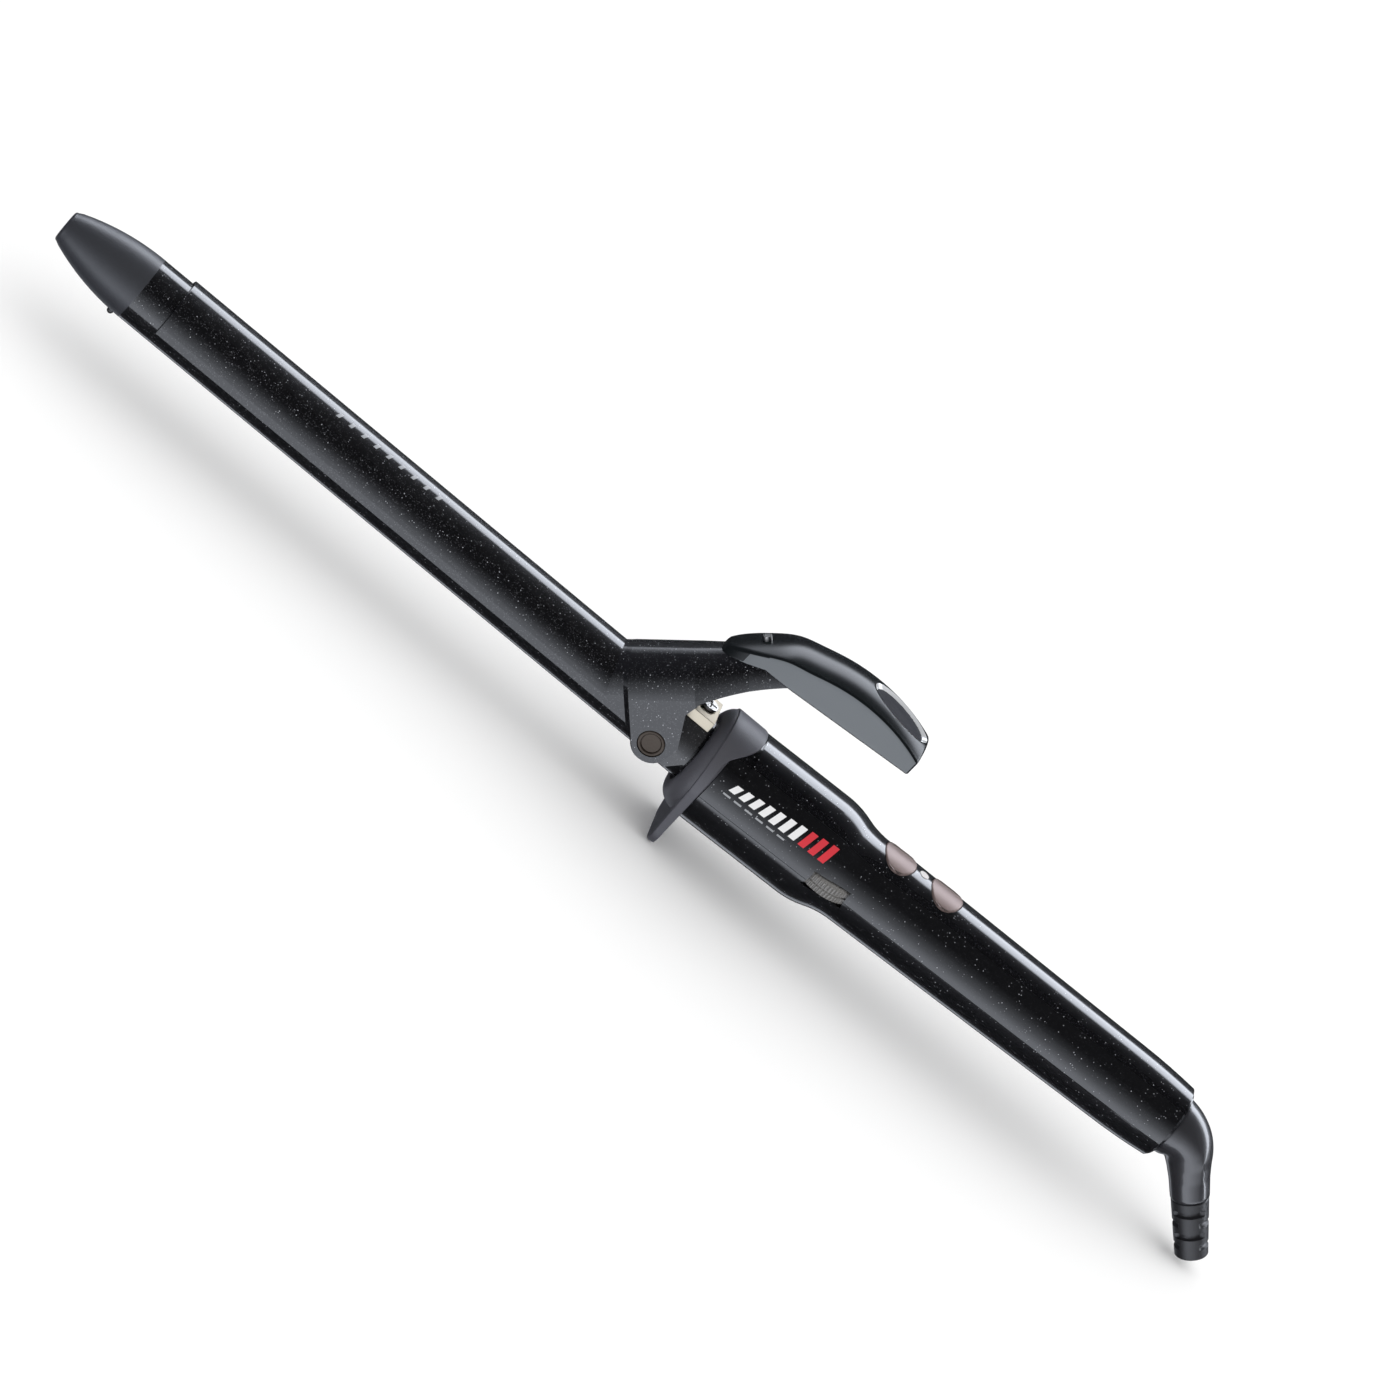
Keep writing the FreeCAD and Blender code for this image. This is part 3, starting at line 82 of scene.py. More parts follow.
# %% Frames of the barrel and the handle
joints = {j["name"]: j for j in frame["joints"]}
barrel_low, barrel_high = (Vector(c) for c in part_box("barrel_tube"))
BARREL_AXIS_Z = (barrel_high.z + barrel_low.z) / 2
TUBE_SEAT = 6.0 * MM
BARREL_DATUM_X = barrel_high.x - TUBE_SEAT
TUBE_RADIUS = 9.5
HANDLE_LENGTH = 152.5 * MM
HANDLE_RADIUS = 15.8
along = Vector(joints["cord_swivel"]["axis"]).normalized()
upward = -Vector(joints["plus_press"]["axis"]).normalized()
sideways = upward.cross(along)
handle_start = Vector(joints["cord_swivel"]["pos_m"]) - along * HANDLE_LENGTH
handle_frame = Matrix((along, sideways, upward)).transposed().to_4x4()
handle_frame.translation = handle_start
barrel_frame = Matrix.Translation((BARREL_DATUM_X, 0, BARREL_AXIS_Z))
print("handle leans", round(math.degrees(math.asin(along.z)), 2), "degrees")

# %% [markdown]
# Most finishes here share two small effects. One is a fine moulded grain that breaks up a
# highlight on matte plastic. The other is the scatter of metal flecks in the black ceramic coat.
# Each is built once as a shader node group, and each material gives it its own numbers.

# %% Helpers for node groups and materials
def node_group(name, inputs, outputs):
    group = bpy.data.node_groups.new(name, "ShaderNodeTree")
    for label, kind, value in inputs:
        socket = group.interface.new_socket(label, in_out="INPUT", socket_type=kind)
        socket.default_value = value
    for label, kind in outputs:
        group.interface.new_socket(label, in_out="OUTPUT", socket_type=kind)
    return group, group.nodes.new("NodeGroupInput"), group.nodes.new("NodeGroupOutput")


def maths(tree, operation, a, b=None, clamp=False):
    """A math node; a and b are sockets or numbers."""
    node = tree.nodes.new("ShaderNodeMath")
    node.operation = operation
    node.use_clamp = clamp
    for socket, value in zip(node.inputs, (a, b)):
        if hasattr(value, "is_output"):
            tree.links.new(value, socket)
        elif value is not None:
            socket.default_value = value
    return node.outputs[0]


def ramped(tree, value, low, high):
    """0 below low, 1 above high, smooth between."""
    node = tree.nodes.new("ShaderNodeMapRange")
    node.interpolation_type = "SMOOTHSTEP"
    node.inputs["From Min"].default_value = low
    node.inputs["From Max"].default_value = high
    tree.links.new(value, node.inputs["Value"])
    return node.outputs["Result"]


def mixed(tree, factor, a, b, blend="MIX"):
    """A mix of two colours; factor, a and b are sockets or values."""
    node = tree.nodes.new("ShaderNodeMix")
    node.data_type = "RGBA"
    node.blend_type = blend
    for label, value in (("Factor", factor), ("A", a), ("B", b)):
        if hasattr(value, "is_output"):
            tree.links.new(value, node.inputs[label])
        else:
            node.inputs[label].default_value = value
    return node.outputs["Result"]


# %% Grain and flecks
BROAD_SCALE, GRAIN_DETAIL, FLECK_CONTRAST = 60.0, 3.0, 2.0


def build_grain():
    group, given, result = node_group(
        "moulded_grain",
        [("Scale", "NodeSocketFloat", 2600.0), ("Roughness", "NodeSocketFloat", 0.5),
         ("Variation", "NodeSocketFloat", 0.1)],
        [("Height", "NodeSocketFloat"), ("Roughness", "NodeSocketFloat")])
    place = group.nodes.new("ShaderNodeTexCoord")
    noise = group.nodes.new("ShaderNodeTexNoise")
    noise.inputs["Detail"].default_value = GRAIN_DETAIL
    group.links.new(place.outputs["Object"], noise.inputs["Vector"])
    group.links.new(given.outputs["Scale"], noise.inputs["Scale"])
    broad = group.nodes.new("ShaderNodeTexNoise")
    broad.inputs["Scale"].default_value = BROAD_SCALE
    group.links.new(place.outputs["Object"], broad.inputs["Vector"])
    shift = maths(group, "SUBTRACT", broad.outputs["Fac"], 0.5)
    amount = maths(group, "MULTIPLY", shift, given.outputs["Variation"])
    rough = maths(group, "ADD", amount, given.outputs["Roughness"], clamp=True)
    group.links.new(noise.outputs["Fac"], result.inputs["Height"])
    group.links.new(rough, result.inputs["Roughness"])
    return group


def build_flecks():
    group, given, result = node_group(
        "metal_flecks",
        [("Scale", "NodeSocketFloat", 900.0), ("Size", "NodeSocketFloat", 0.3),
         ("Share", "NodeSocketFloat", 0.3)],
        [("Mask", "NodeSocketFloat")])
    place = group.nodes.new("ShaderNodeTexCoord")
    cells = group.nodes.new("ShaderNodeTexVoronoi")
    group.links.new(place.outputs["Object"], cells.inputs["Vector"])
    group.links.new(given.outputs["Scale"], cells.inputs["Scale"])
    chance = group.nodes.new("ShaderNodeSeparateColor")
    group.links.new(cells.outputs["Color"], chance.inputs["Color"])
    near = maths(group, "LESS_THAN", cells.outputs["Distance"], given.outputs["Size"])
    kept = maths(group, "LESS_THAN", chance.outputs["Red"], given.outputs["Share"])
    both = maths(group, "MULTIPLY", near, kept)
    level = maths(group, "POWER", chance.outputs["Green"], FLECK_CONTRAST)
    bright = maths(group, "MULTIPLY", both, level)
    group.links.new(bright, result.inputs["Mask"])
    return group


grain_group, fleck_group = build_grain(), build_flecks()
print("node groups:", grain_group.name, fleck_group.name)

# %% Material makers
COAT_ROUGHNESS, GRAIN_STRENGTH = 0.03, 0.6
FLECK_COLOR = (0.34, 0.35, 0.38, 1.0)
SPARSE_SIZE, DUST_SCALE, DUST_SIZE, DUST_SHARE = 0.22, 2400.0, 0.45, 0.6


def new_material(name, color, roughness, metallic=0.0, coat=0.0, specular=0.5):
    material = bpy.data.materials.new(name)
    material.use_nodes = True
    shader = material.node_tree.nodes["Principled BSDF"]
    shader.inputs["Base Color"].default_value = (*color, 1.0)
    shader.inputs["Roughness"].default_value = roughness
    shader.inputs["Metallic"].default_value = metallic
    shader.inputs["Coat Weight"].default_value = coat
    shader.inputs["Coat Roughness"].default_value = COAT_ROUGHNESS
    shader.inputs["Specular IOR Level"].default_value = specular
    return material, material.node_tree, shader


def add_group(tree, group, **values):
    node = tree.nodes.new("ShaderNodeGroup")
    node.node_tree = group
    for label, value in values.items():
        node.inputs[label].default_value = value
    return node


def add_grain(tree, shader, scale, depth, roughness, variation):
    grain = add_group(tree, grain_group, Scale=scale, Roughness=roughness, Variation=variation)
    bump = tree.nodes.new("ShaderNodeBump")
    bump.inputs["Strength"].default_value = GRAIN_STRENGTH
    bump.inputs["Distance"].default_value = depth
    tree.links.new(grain.outputs["Height"], bump.inputs["Height"])
    tree.links.new(bump.outputs["Normal"], shader.inputs["Normal"])
    tree.links.new(grain.outputs["Roughness"], shader.inputs["Roughness"])


def grained(name, color, roughness, scale=2600.0, depth=0.00004, variation=0.15, **finish):
    material, tree, shader = new_material(name, color, roughness, **finish)
    add_grain(tree, shader, scale, depth, roughness, variation)
    return material


def flecked(name, color, roughness, share, scale=1500.0, fine=0.05, **finish):
    """Gloss black with sparse bright flecks over a denser, dimmer dust of them."""
    material, tree, shader = new_material(name, color, roughness, coat=1.0, specular=0.12, **finish)
    sparse = add_group(tree, fleck_group, Scale=scale, Size=SPARSE_SIZE, Share=share)
    dense = add_group(tree, fleck_group, Scale=DUST_SCALE, Size=DUST_SIZE, Share=DUST_SHARE)
    dim = maths(tree, "MULTIPLY", dense.outputs["Mask"], fine)
    total = maths(tree, "ADD", sparse.outputs["Mask"], dim, clamp=True)
    speckled = mixed(tree, total, (*color, 1.0), FLECK_COLOR)
    tree.links.new(speckled, shader.inputs["Base Color"])
    grain = add_group(tree, grain_group, Scale=1800.0, Roughness=roughness, Variation=0.12)
    tree.links.new(grain.outputs["Roughness"], shader.inputs["Roughness"])
    return material


FINISHES = {
    "cap_plastic": grained("cap_slate", (0.030, 0.032, 0.039), 0.42, depth=0.00006),
    "steel": grained("plain_steel", (0.55, 0.54, 0.52), 0.30, metallic=1.0, scale=5000.0,
                     depth=0.00001),
    "barrel_coating": flecked("barrel_ceramic", (0.004, 0.004, 0.005), 0.42, 0.35, fine=0.10),
    "clamp_coating": flecked("clamp_ceramic", (0.004, 0.004, 0.005), 0.42, 0.35, fine=0.10),
    "saddle_steel": flecked("saddle_ceramic", (0.022, 0.022, 0.024), 0.45, 0.35, fine=0.10),
    "aluminium": grained("extruded_aluminium", (0.72, 0.72, 0.73), 0.35, metallic=1.0),
    "ceramic": grained("heater_ceramic", (0.80, 0.77, 0.70), 0.7),
    "insulation": grained("mica_board", (0.62, 0.56, 0.45), 0.7),
    "copper": grained("plain_copper", (0.72, 0.38, 0.22), 0.3, metallic=1.0),
    "lead_sleeve": grained("woven_sleeve", (0.70, 0.69, 0.65), 0.8, scale=1500.0),
    "pin_bronze": grained("pin_bronze", (0.040, 0.030, 0.022), 0.38, metallic=0.6, scale=900.0,
                          depth=0.0001),
    "spring_steel": grained("spring_steel", (0.50, 0.47, 0.42), 0.3, metallic=1.0),
    "clip_nickel": grained("clip_nickel", (0.36, 0.32, 0.25), 0.30, metallic=1.0, scale=1200.0),
    "lever_plastic": grained("lever_gloss", (0.0060, 0.0075, 0.0085), 0.22, depth=0.000004,
                             specular=0.25, variation=0.06),
    # lever_side: a lighter grey copy of the lever's black plastic, a painted sheen for its flat
    # side walls
    "lever_side": grained("lever_side_painted_sheen", (0.085, 0.095, 0.103), 0.38, depth=0.00002,
                          coat=0.3),
    "pad_plastic": grained("pad_matte", (0.010, 0.010, 0.014), 0.6, specular=0.12),
    # rim: light grey under a clear coat, a painted highlight for the bevelled rim of the thumb rest
    "rim": grained("rest_rim_painted_highlight", (0.55, 0.56, 0.58), 0.25, coat=1.0),
    "collar_plastic": grained("collar_slate", (0.062, 0.062, 0.074), 0.48, depth=0.00006),
    "handle_plastic": flecked("handle_gloss", (0.0045, 0.0045, 0.0055), 0.35, 0.28, fine=0.02),
    "panel_plastic": flecked("panel_gloss", (0.0035, 0.0035, 0.0045), 0.30, 0.30, fine=0.02),
    "button_plastic": grained("button_bronze", (0.17, 0.125, 0.115), 0.42, metallic=0.35,
                              scale=4000.0, depth=0.00001),
    "indicator": grained("indicator_lens", (0.60, 0.58, 0.57), 0.3, scale=6000.0,
                         depth=0.000005),
    "dial_plastic": grained("dial_grey", (0.17, 0.165, 0.16), 0.36),
    "board": grained("board_green", (0.02, 0.12, 0.05), 0.4),
    "component_black": grained("component_black", (0.02, 0.02, 0.02), 0.5),
    "elbow_plastic": grained("elbow_satin", (0.022, 0.022, 0.026), 0.30, depth=0.00002, coat=0.5),
    "boot_rubber": grained("boot_rubber", (0.014, 0.014, 0.016), 0.42),
}
slot_of = {part["node"]: part["material_slot"] for part in frame["record"]["subparts"]}
for name, part in nodes.items():
    part.data.materials.clear()
    part.data.materials.append(FINISHES[slot_of[name]])
nodes["tip_pin"].data.materials[0] = grained("tip_pin_black", (0.012, 0.012, 0.013), 0.35)
print(len(FINISHES), "finishes on", len(nodes), "parts")

# %% [markdown]
# A moulded or pressed part never has a knife edge: each edge carries a small radius, and the thin
# highlight that runs along it is what makes the part look real. The parts below are copied, their
# triangles are merged back into clean faces, and a bevel rounds only the sharp edges.

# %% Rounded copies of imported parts
MERGE_WITHIN, FLAT_WITHIN = 0.002 * MM, math.radians(0.5)


def finish_piece(piece, body, slot):
    bpy.context.scene.collection.objects.link(piece)
    piece.data.materials.clear()
    piece.data.materials.append(FINISHES[slot])
    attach(piece, body)


def body_of(node):
    return nodes[node]["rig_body"]


def rounded(node, name, width, segments=3, angle=28.0):
    mesh = nodes[node].data.copy()
    shape = bmesh.new()
    shape.from_mesh(mesh)
    bmesh.ops.remove_doubles(shape, verts=shape.verts, dist=MERGE_WITHIN)
    bmesh.ops.dissolve_limit(shape, angle_limit=FLAT_WITHIN, verts=shape.verts,
                             edges=shape.edges)
    for face in shape.faces:
        face.smooth = True
    shape.to_mesh(mesh)
    shape.free()
    piece = bpy.data.objects.new(name, mesh)
    finish_piece(piece, body_of(node), slot_of[node])
    bevel = piece.modifiers.new("edge", "BEVEL")
    bevel.width = width * MM
    bevel.segments = segments
    bevel.limit_method = "ANGLE"
    bevel.angle_limit = math.radians(angle)
    bevel.use_clamp_overlap = False
    bevel.harden_normals = True
    mesh.set_sharp_from_angle(angle=math.radians(angle))
    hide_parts(node)
    print(name, len(mesh.vertices), "points, edges rounded by", width, "mm")


for node, width in {"button_plus": 0.45, "button_minus": 0.45, "spring_clip": 0.15,
                    "spring_screw": 0.2}.items():
    rounded(node, node + "_rounded", width)

# %% [markdown]
# Several pieces are bodies of revolution or follow a bent line. One helper lays rings of points
# and joins them into a skin, so a piece is described by the centre, direction and outline of each
# ring.

# %% Skins made of rings
FORWARD, ACROSS = Vector((1, 0, 0)), Vector((0, 1, 0))
SHARP_ANGLE = math.radians(40)


def skin(rings, closed_ends=True):
    """A mesh from equal rings of points, each joined to the next."""
    mesh = bpy.data.meshes.new("skin")
    count = len(rings[0])
    points = [tuple(p) for ring in rings for p in ring]
    faces = []
    for i in range(len(rings) - 1):
        for j in range(count):
            a, b = i * count + j, i * count + (j + 1) % count
            faces.append((a, b, b + count, a + count))
    if closed_ends:
        faces.append(tuple(reversed(range(count))))
        faces.append(tuple(range((len(rings) - 1) * count, len(rings) * count)))
    mesh.from_pydata(points, [], faces)
    shape = bmesh.new()
    shape.from_mesh(mesh)
    bmesh.ops.recalc_face_normals(shape, faces=shape.faces)
    shape.to_mesh(mesh)
    shape.free()
    mesh.shade_smooth()
    mesh.set_sharp_from_angle(angle=SHARP_ANGLE)
    return mesh


def circle_ring(centre, direction, radius, count=72, radius_at=None):
    """Points round a centre, square to direction; radius_at can vary the radius with the angle."""
    top = direction.cross(ACROSS).normalized()
    ring = []
    for k in range(count):
        turn = 2 * math.pi * k / count
        r = radius_at(turn) if radius_at else radius
        ring.append(centre + ACROSS * (r * math.cos(turn)) + top * (r * math.sin(turn)))
    return ring


def lathe(profile, frame_matrix, count=96):
    """Turned about the frame's X axis from (x, radius) points in millimetres."""
    smallest = 0.001
    mesh = skin([circle_ring(FORWARD * (x * MM), FORWARD, max(r, smallest) * MM, count)
                 for x, r in profile])
    mesh.transform(frame_matrix)
    return mesh


# %% [markdown]
# The cool tip is the plastic nose that can be held while the barrel is hot. Its outline is a
# single long arc that meets the barrel flush, with a softly rounded flat end. A turned skin gives
# that arc without facets.

# %% Cool tip
CAP_JOINT, CAP_LENGTH, CAP_END_RADIUS, CAP_EDGE = -199.2, 25.5, 4.5, 0.9
CAP_END = CAP_JOINT - CAP_LENGTH
CAP_EDGE_STEPS, CAP_EDGE_FLATTEN, CAP_EDGE_PROUD = 5, 0.8, 0.12
CAP_ARC_STEPS, CAP_PLUG_RADIUS, CAP_PLUG_LENGTH = 28, 8.4, 9.0
CAP_JOINT_EDGE = ((-0.01, 9.42), (0.0, 9.2))
cap_drop = TUBE_RADIUS - CAP_END_RADIUS
cap_arc = (CAP_LENGTH ** 2 + cap_drop ** 2) / (2 * cap_drop)
cap_profile = [(CAP_END, r) for r in (0.0, 2.0, CAP_END_RADIUS - CAP_EDGE)]
for k in range(1, CAP_EDGE_STEPS + 1):
    turn = math.pi / 2 * k / CAP_EDGE_STEPS
    cap_profile.append((CAP_END + CAP_EDGE * (1 - math.cos(turn)) * CAP_EDGE_FLATTEN,
                        CAP_END_RADIUS - CAP_EDGE * (1 - math.sin(turn)) + CAP_EDGE_PROUD))
for k in range(2, CAP_ARC_STEPS + 1):
    x = CAP_END + CAP_LENGTH * k / CAP_ARC_STEPS
    cap_profile.append((x, TUBE_RADIUS - cap_arc + math.sqrt(cap_arc ** 2 - (CAP_JOINT - x) ** 2)))
cap_profile += [(CAP_JOINT + x, r) for x, r in CAP_JOINT_EDGE]
cap_profile += [(CAP_JOINT, CAP_PLUG_RADIUS), (CAP_JOINT + CAP_PLUG_LENGTH, CAP_PLUG_RADIUS),
                (CAP_JOINT + CAP_PLUG_LENGTH, 0.0)]
tip = bpy.data.objects.new("cool_tip_skin", lathe(cap_profile, barrel_frame))
finish_piece(tip, body_of("cool_tip"), "cap_plastic")
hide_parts("cool_tip")
print("cool tip", len(tip.data.vertices), "points")

# %% [markdown]
# The elbow is one smooth moulding: a wide round base against the handle that narrows as it turns
# down into the branch for the cord. A sweep along a bent centre line with a changing radius
# follows it, where joined cones would leave hard rings.

# %% Swivel elbow
ELBOW_REACH, ELBOW_TURN, ELBOW_BLEND = 6.3 * MM, math.radians(49.4), 6.0
elbow_centre = FORWARD * (HANDLE_LENGTH + ELBOW_REACH)
branch = Vector((math.cos(ELBOW_TURN), 0, -math.sin(ELBOW_TURN)))
BRANCH_START, BRANCH_END = -5.7, 18.0
BRANCH_STEPS, BRANCH_EDGE = 40, 0.5
# (distance from the bend's middle, radius): the neck inside the handle, the outside, the cut end.
ELBOW_NECK = ((-14.9, 3.0), (-14.9, 6.9), (-12.6, 6.9), (-12.6, 4.95), (-6.0, 4.95), (-6.0, 8.2),
              (-5.9, 8.55))
ELBOW_OUTSIDE = ((-6.0, 8.7), (-3.0, 8.25), (0.0, 7.6), (4.0, 6.75), (8.0, 6.05), (12.0, 5.6),
                 (18.0, 5.35))
ELBOW_CUT = ((BRANCH_END - 0.2, 5.25), (BRANCH_END, 5.0), (BRANCH_END, 2.5))


def elbow_line(s):
    """Centre and direction at s millimetres from the bend's middle, negative towards the handle."""
    along_bend = (s + ELBOW_BLEND) / (2 * ELBOW_BLEND)
    share = min(max(along_bend, 0.0), 1.0)
    share = share * share * (3 - 2 * share)
    direction = (FORWARD * (1 - share) + branch * share).normalized()
    if s <= -ELBOW_BLEND:
        return elbow_centre + FORWARD * (s * MM), direction
    if s >= ELBOW_BLEND:
        return elbow_centre + branch * (s * MM), direction
    u = along_bend
    first = elbow_centre - FORWARD * (ELBOW_BLEND * MM)
    last = elbow_centre + branch * (ELBOW_BLEND * MM)
    return first * (1 - u) ** 2 + elbow_centre * (2 * u * (1 - u)) + last * u ** 2, direction


def elbow_radius(s):
    for (s0, r0), (s1, r1) in zip(ELBOW_OUTSIDE, ELBOW_OUTSIDE[1:]):
        if s <= s1:
            return r0 + (r1 - r0) * max(0.0, (s - s0) / (s1 - s0))
    return ELBOW_OUTSIDE[-1][1]


def elbow_ring(s, radius):
    centre, direction = elbow_line(s)
    return circle_ring(centre, direction, radius * MM)


elbow_rings = [circle_ring(elbow_centre + FORWARD * (x * MM), FORWARD, r * MM)
               for x, r in ELBOW_NECK]
for k in range(BRANCH_STEPS + 1):
    s = BRANCH_START + (BRANCH_END - BRANCH_EDGE - BRANCH_START) * k / BRANCH_STEPS
    elbow_rings.append(elbow_ring(s, elbow_radius(s)))
elbow_rings += [elbow_ring(s, r) for s, r in ELBOW_CUT]
elbow_mesh = skin(elbow_rings)
elbow_mesh.transform(handle_frame)
elbow = bpy.data.objects.new("swivel_elbow_skin", elbow_mesh)
finish_piece(elbow, body_of("swivel_elbow"), "elbow_plastic")
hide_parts("swivel_elbow")
print("elbow", len(elbow_mesh.vertices), "points")

# %% [markdown]
# The strain relief is a rubber sleeve that lets the cord bend gently. Slots cut into it from
# alternate sides make it flexible. They are deep enough to see, so they are real hollows in the
# skin and not painted bands.

# %% Cord boot
BOOT_END, BOOT_SLOTS, SLOT_PITCH, SLOT_WIDTH, SLOT_DEPTH = 35.5, 4, 3.4, 1.7, 1.0
FIRST_SLOT, SLOT_REACH, SLOT_FADE, SLOT_SQUARE = 3.6, 0.35, 3.0, 6
BOOT_WIDE, BOOT_NARROW, BOOT_BORE, BOOT_POINTS = 5.2, 4.55, 3.25, 96
BOOT_FROM, BOOT_TO, BOOT_STEP = BRANCH_END + 0.3, BOOT_END - 0.4, 0.15
BOOT_START_EDGE = ((BRANCH_END + 0.05, 2.4), (BRANCH_END + 0.05, 4.9))
BOOT_END_EDGE = ((BOOT_END - 0.1, 4.35), (BOOT_END, 4.1), (BOOT_END, 3.45),
                 (BOOT_END - 0.2, BOOT_BORE), (BRANCH_END + 1.5, BOOT_BORE))


def boot_radius(s, turn):
    share = (s - BRANCH_END) / (BOOT_END - BRANCH_END)
    depth = 0.0
    for k in range(BOOT_SLOTS):
        middle = BRANCH_END + FIRST_SLOT + k * SLOT_PITCH
        across = max(0.0, 1 - (abs(s - middle) / (SLOT_WIDTH / 2)) ** SLOT_SQUARE)
        facing = math.cos(2 * turn + (math.pi if k % 2 else 0.0))
        depth = max(depth, across * min(max((facing + SLOT_REACH) * SLOT_FADE, 0.0), 1.0))
    return (BOOT_WIDE + (BOOT_NARROW - BOOT_WIDE) * share - SLOT_DEPTH * depth) * MM


def boot_ring(s, radius, radius_at=None):
    return circle_ring(elbow_centre + branch * (s * MM), branch, radius * MM, BOOT_POINTS,
                       radius_at)


boot_rings = [boot_ring(s, r) for s, r in BOOT_START_EDGE]
steps = int((BOOT_TO - BOOT_FROM) / BOOT_STEP)
for k in range(steps + 1):
    s = BOOT_FROM + (BOOT_TO - BOOT_FROM) * k / steps
    boot_rings.append(boot_ring(s, 0, lambda turn, s=s: boot_radius(s, turn)))
boot_rings += [boot_ring(s, r) for s, r in BOOT_END_EDGE]
boot_mesh = skin(boot_rings)
boot_mesh.transform(handle_frame)
boot = bpy.data.objects.new("cord_boot_skin", boot_mesh)
finish_piece(boot, body_of("cord_boot"), "boot_rubber")
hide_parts("cord_boot")
print("boot", len(boot_mesh.vertices), "points,", BOOT_SLOTS, "slots")

# %% [markdown]
# The thumb dial is a thin wheel that stands a little out of a slot in the handle's side. Its rim
# has two rows of teeth with a groove between, for grip. The teeth are modelled, because their
# outline shows.

# %% Temperature dial
dial_low, dial_high = (Vector(c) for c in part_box("temperature_dial"))
DIAL_RADIUS, DIAL_TEETH, DIAL_HALF = (dial_high.y - dial_low.y) / 2, 60, 2.3
DIAL_RIM, DIAL_HUB, TOOTH_DEPTH, TOOTH_POINTS = DIAL_RADIUS - 0.05 * MM, 1.56 * MM, 0.45 * MM, 4
dial_middle = handle_frame.inverted() @ Vector(joints["dial_turn"]["pos_m"])


def dial_ring(z, reach, toothed):
    ring = []
    for k in range(DIAL_TEETH * TOOTH_POINTS):
        turn = 2 * math.pi * (k + 0.5) / (DIAL_TEETH * TOOTH_POINTS)
        r = reach - (TOOTH_DEPTH if toothed and k % TOOTH_POINTS >= TOOTH_POINTS / 2 else 0.0)
        ring.append(dial_middle + Vector((r * math.cos(turn), r * math.sin(turn), z * MM)))
    return ring


# (height, radius, toothed) from the lower hub to the groove; the upper half mirrors it.
DIAL_SECTION = ((-DIAL_HALF, DIAL_HUB, False), (-DIAL_HALF, DIAL_RIM - 0.9 * MM, False),
                (-DIAL_HALF + 0.35, DIAL_RIM - 0.2 * MM, True), (-DIAL_HALF + 0.5, DIAL_RIM, True),
                (-0.35, DIAL_RIM, True), (-0.2, DIAL_RIM - 0.6 * MM, False))
dial_rings = [dial_ring(*place) for place in DIAL_SECTION]
dial_rings += [dial_ring(-z, r, toothed) for z, r, toothed in reversed(DIAL_SECTION)]
dial_mesh = skin(dial_rings + [dial_rings[0]], closed_ends=False)
dial_mesh.transform(handle_frame)
dial = bpy.data.objects.new("thumb_dial_wheel", dial_mesh)
finish_piece(dial, body_of("temperature_dial"), "dial_plastic")
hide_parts("temperature_dial")
print("dial radius", round(DIAL_RADIUS / MM, 2), "mm,", DIAL_TEETH, "teeth")

# %% [markdown]
# The thumb lever is a glossy black cap over the end of the clamp's arm. Seen from the side it is
# an arc that starts in a narrow nose and ends square, with a shallow oval rest for the thumb at
# the rear. It is built as rings from nose to rear. Each ring has a flat-sided, softly domed
# section, and the rest is pressed into the rings that it crosses.

# %% Thumb lever
LEVER_FRONT, LEVER_REAR, LEVER_HALF, LEVER_STEPS = -24.0, 33.4, 9.0, 150
CROWN_X, CROWN_Z, LEVER_ARC, LEVER_DOME = 14.5, 47.5, 51.5, 2.4
SWELL_X, SWELL_REACH, SWELL_HEIGHT = -10.0, 5.5, 0.95
NOSE_LENGTH, NOSE_ARC = 21.6, 22.4
LEVER_LOW, LEVER_LOW_SLOPE, NOSE_LOW_X, NOSE_LOW_SLOPE = 34.6, 0.075, -12.6, 0.5
TOP_EDGE, LOW_EDGE, LEAST_SIDE = 0.9, 0.5, 1.0
TOP_STEPS, TOP_EDGE_STEPS, SIDE_STEPS, LOW_EDGE_STEPS, UNDER_STEPS = 56, 5, 8, 4, 12
REAR_EDGE = ((0.55, 0.0), (0.25, 0.12), (0.08, 0.32), (0.0, 0.6))
REST_X, REST_LONG, REST_WIDE, REST_DEPTH, REST_WALL = 22.6, 10.2, 5.4, 1.1, 0.13
PAINTED_SHEEN_FACING = 0.93


def lever_top(x):
    """Height of the crown: an arc, with a slight swell towards the nose."""
    swell = SWELL_HEIGHT * math.exp(-((x - SWELL_X) / SWELL_REACH) ** 2)
    return CROWN_Z - (LEVER_ARC - math.sqrt(LEVER_ARC ** 2 - (x - CROWN_X) ** 2)) + swell


def lever_half_width(x):
    nose_end = LEVER_FRONT + NOSE_LENGTH
    if x >= nose_end:
        return LEVER_HALF
    return LEVER_HALF * math.sqrt(1 - ((nose_end - x) / NOSE_ARC) ** 2)


def lever_low(x):
    return LEVER_LOW + LEVER_LOW_SLOPE * x - NOSE_LOW_SLOPE * max(0.0, NOSE_LOW_X - x)


def rest_dip(x, y):
    """How deep the thumb rest is at a place, from 0 outside the oval to its full depth."""
    reach = math.sqrt(((x - REST_X) / REST_LONG) ** 2 + (y / REST_WIDE) ** 2)
    share = min(max((1.0 - reach) / REST_WALL, 0.0), 1.0)
    return REST_DEPTH * share


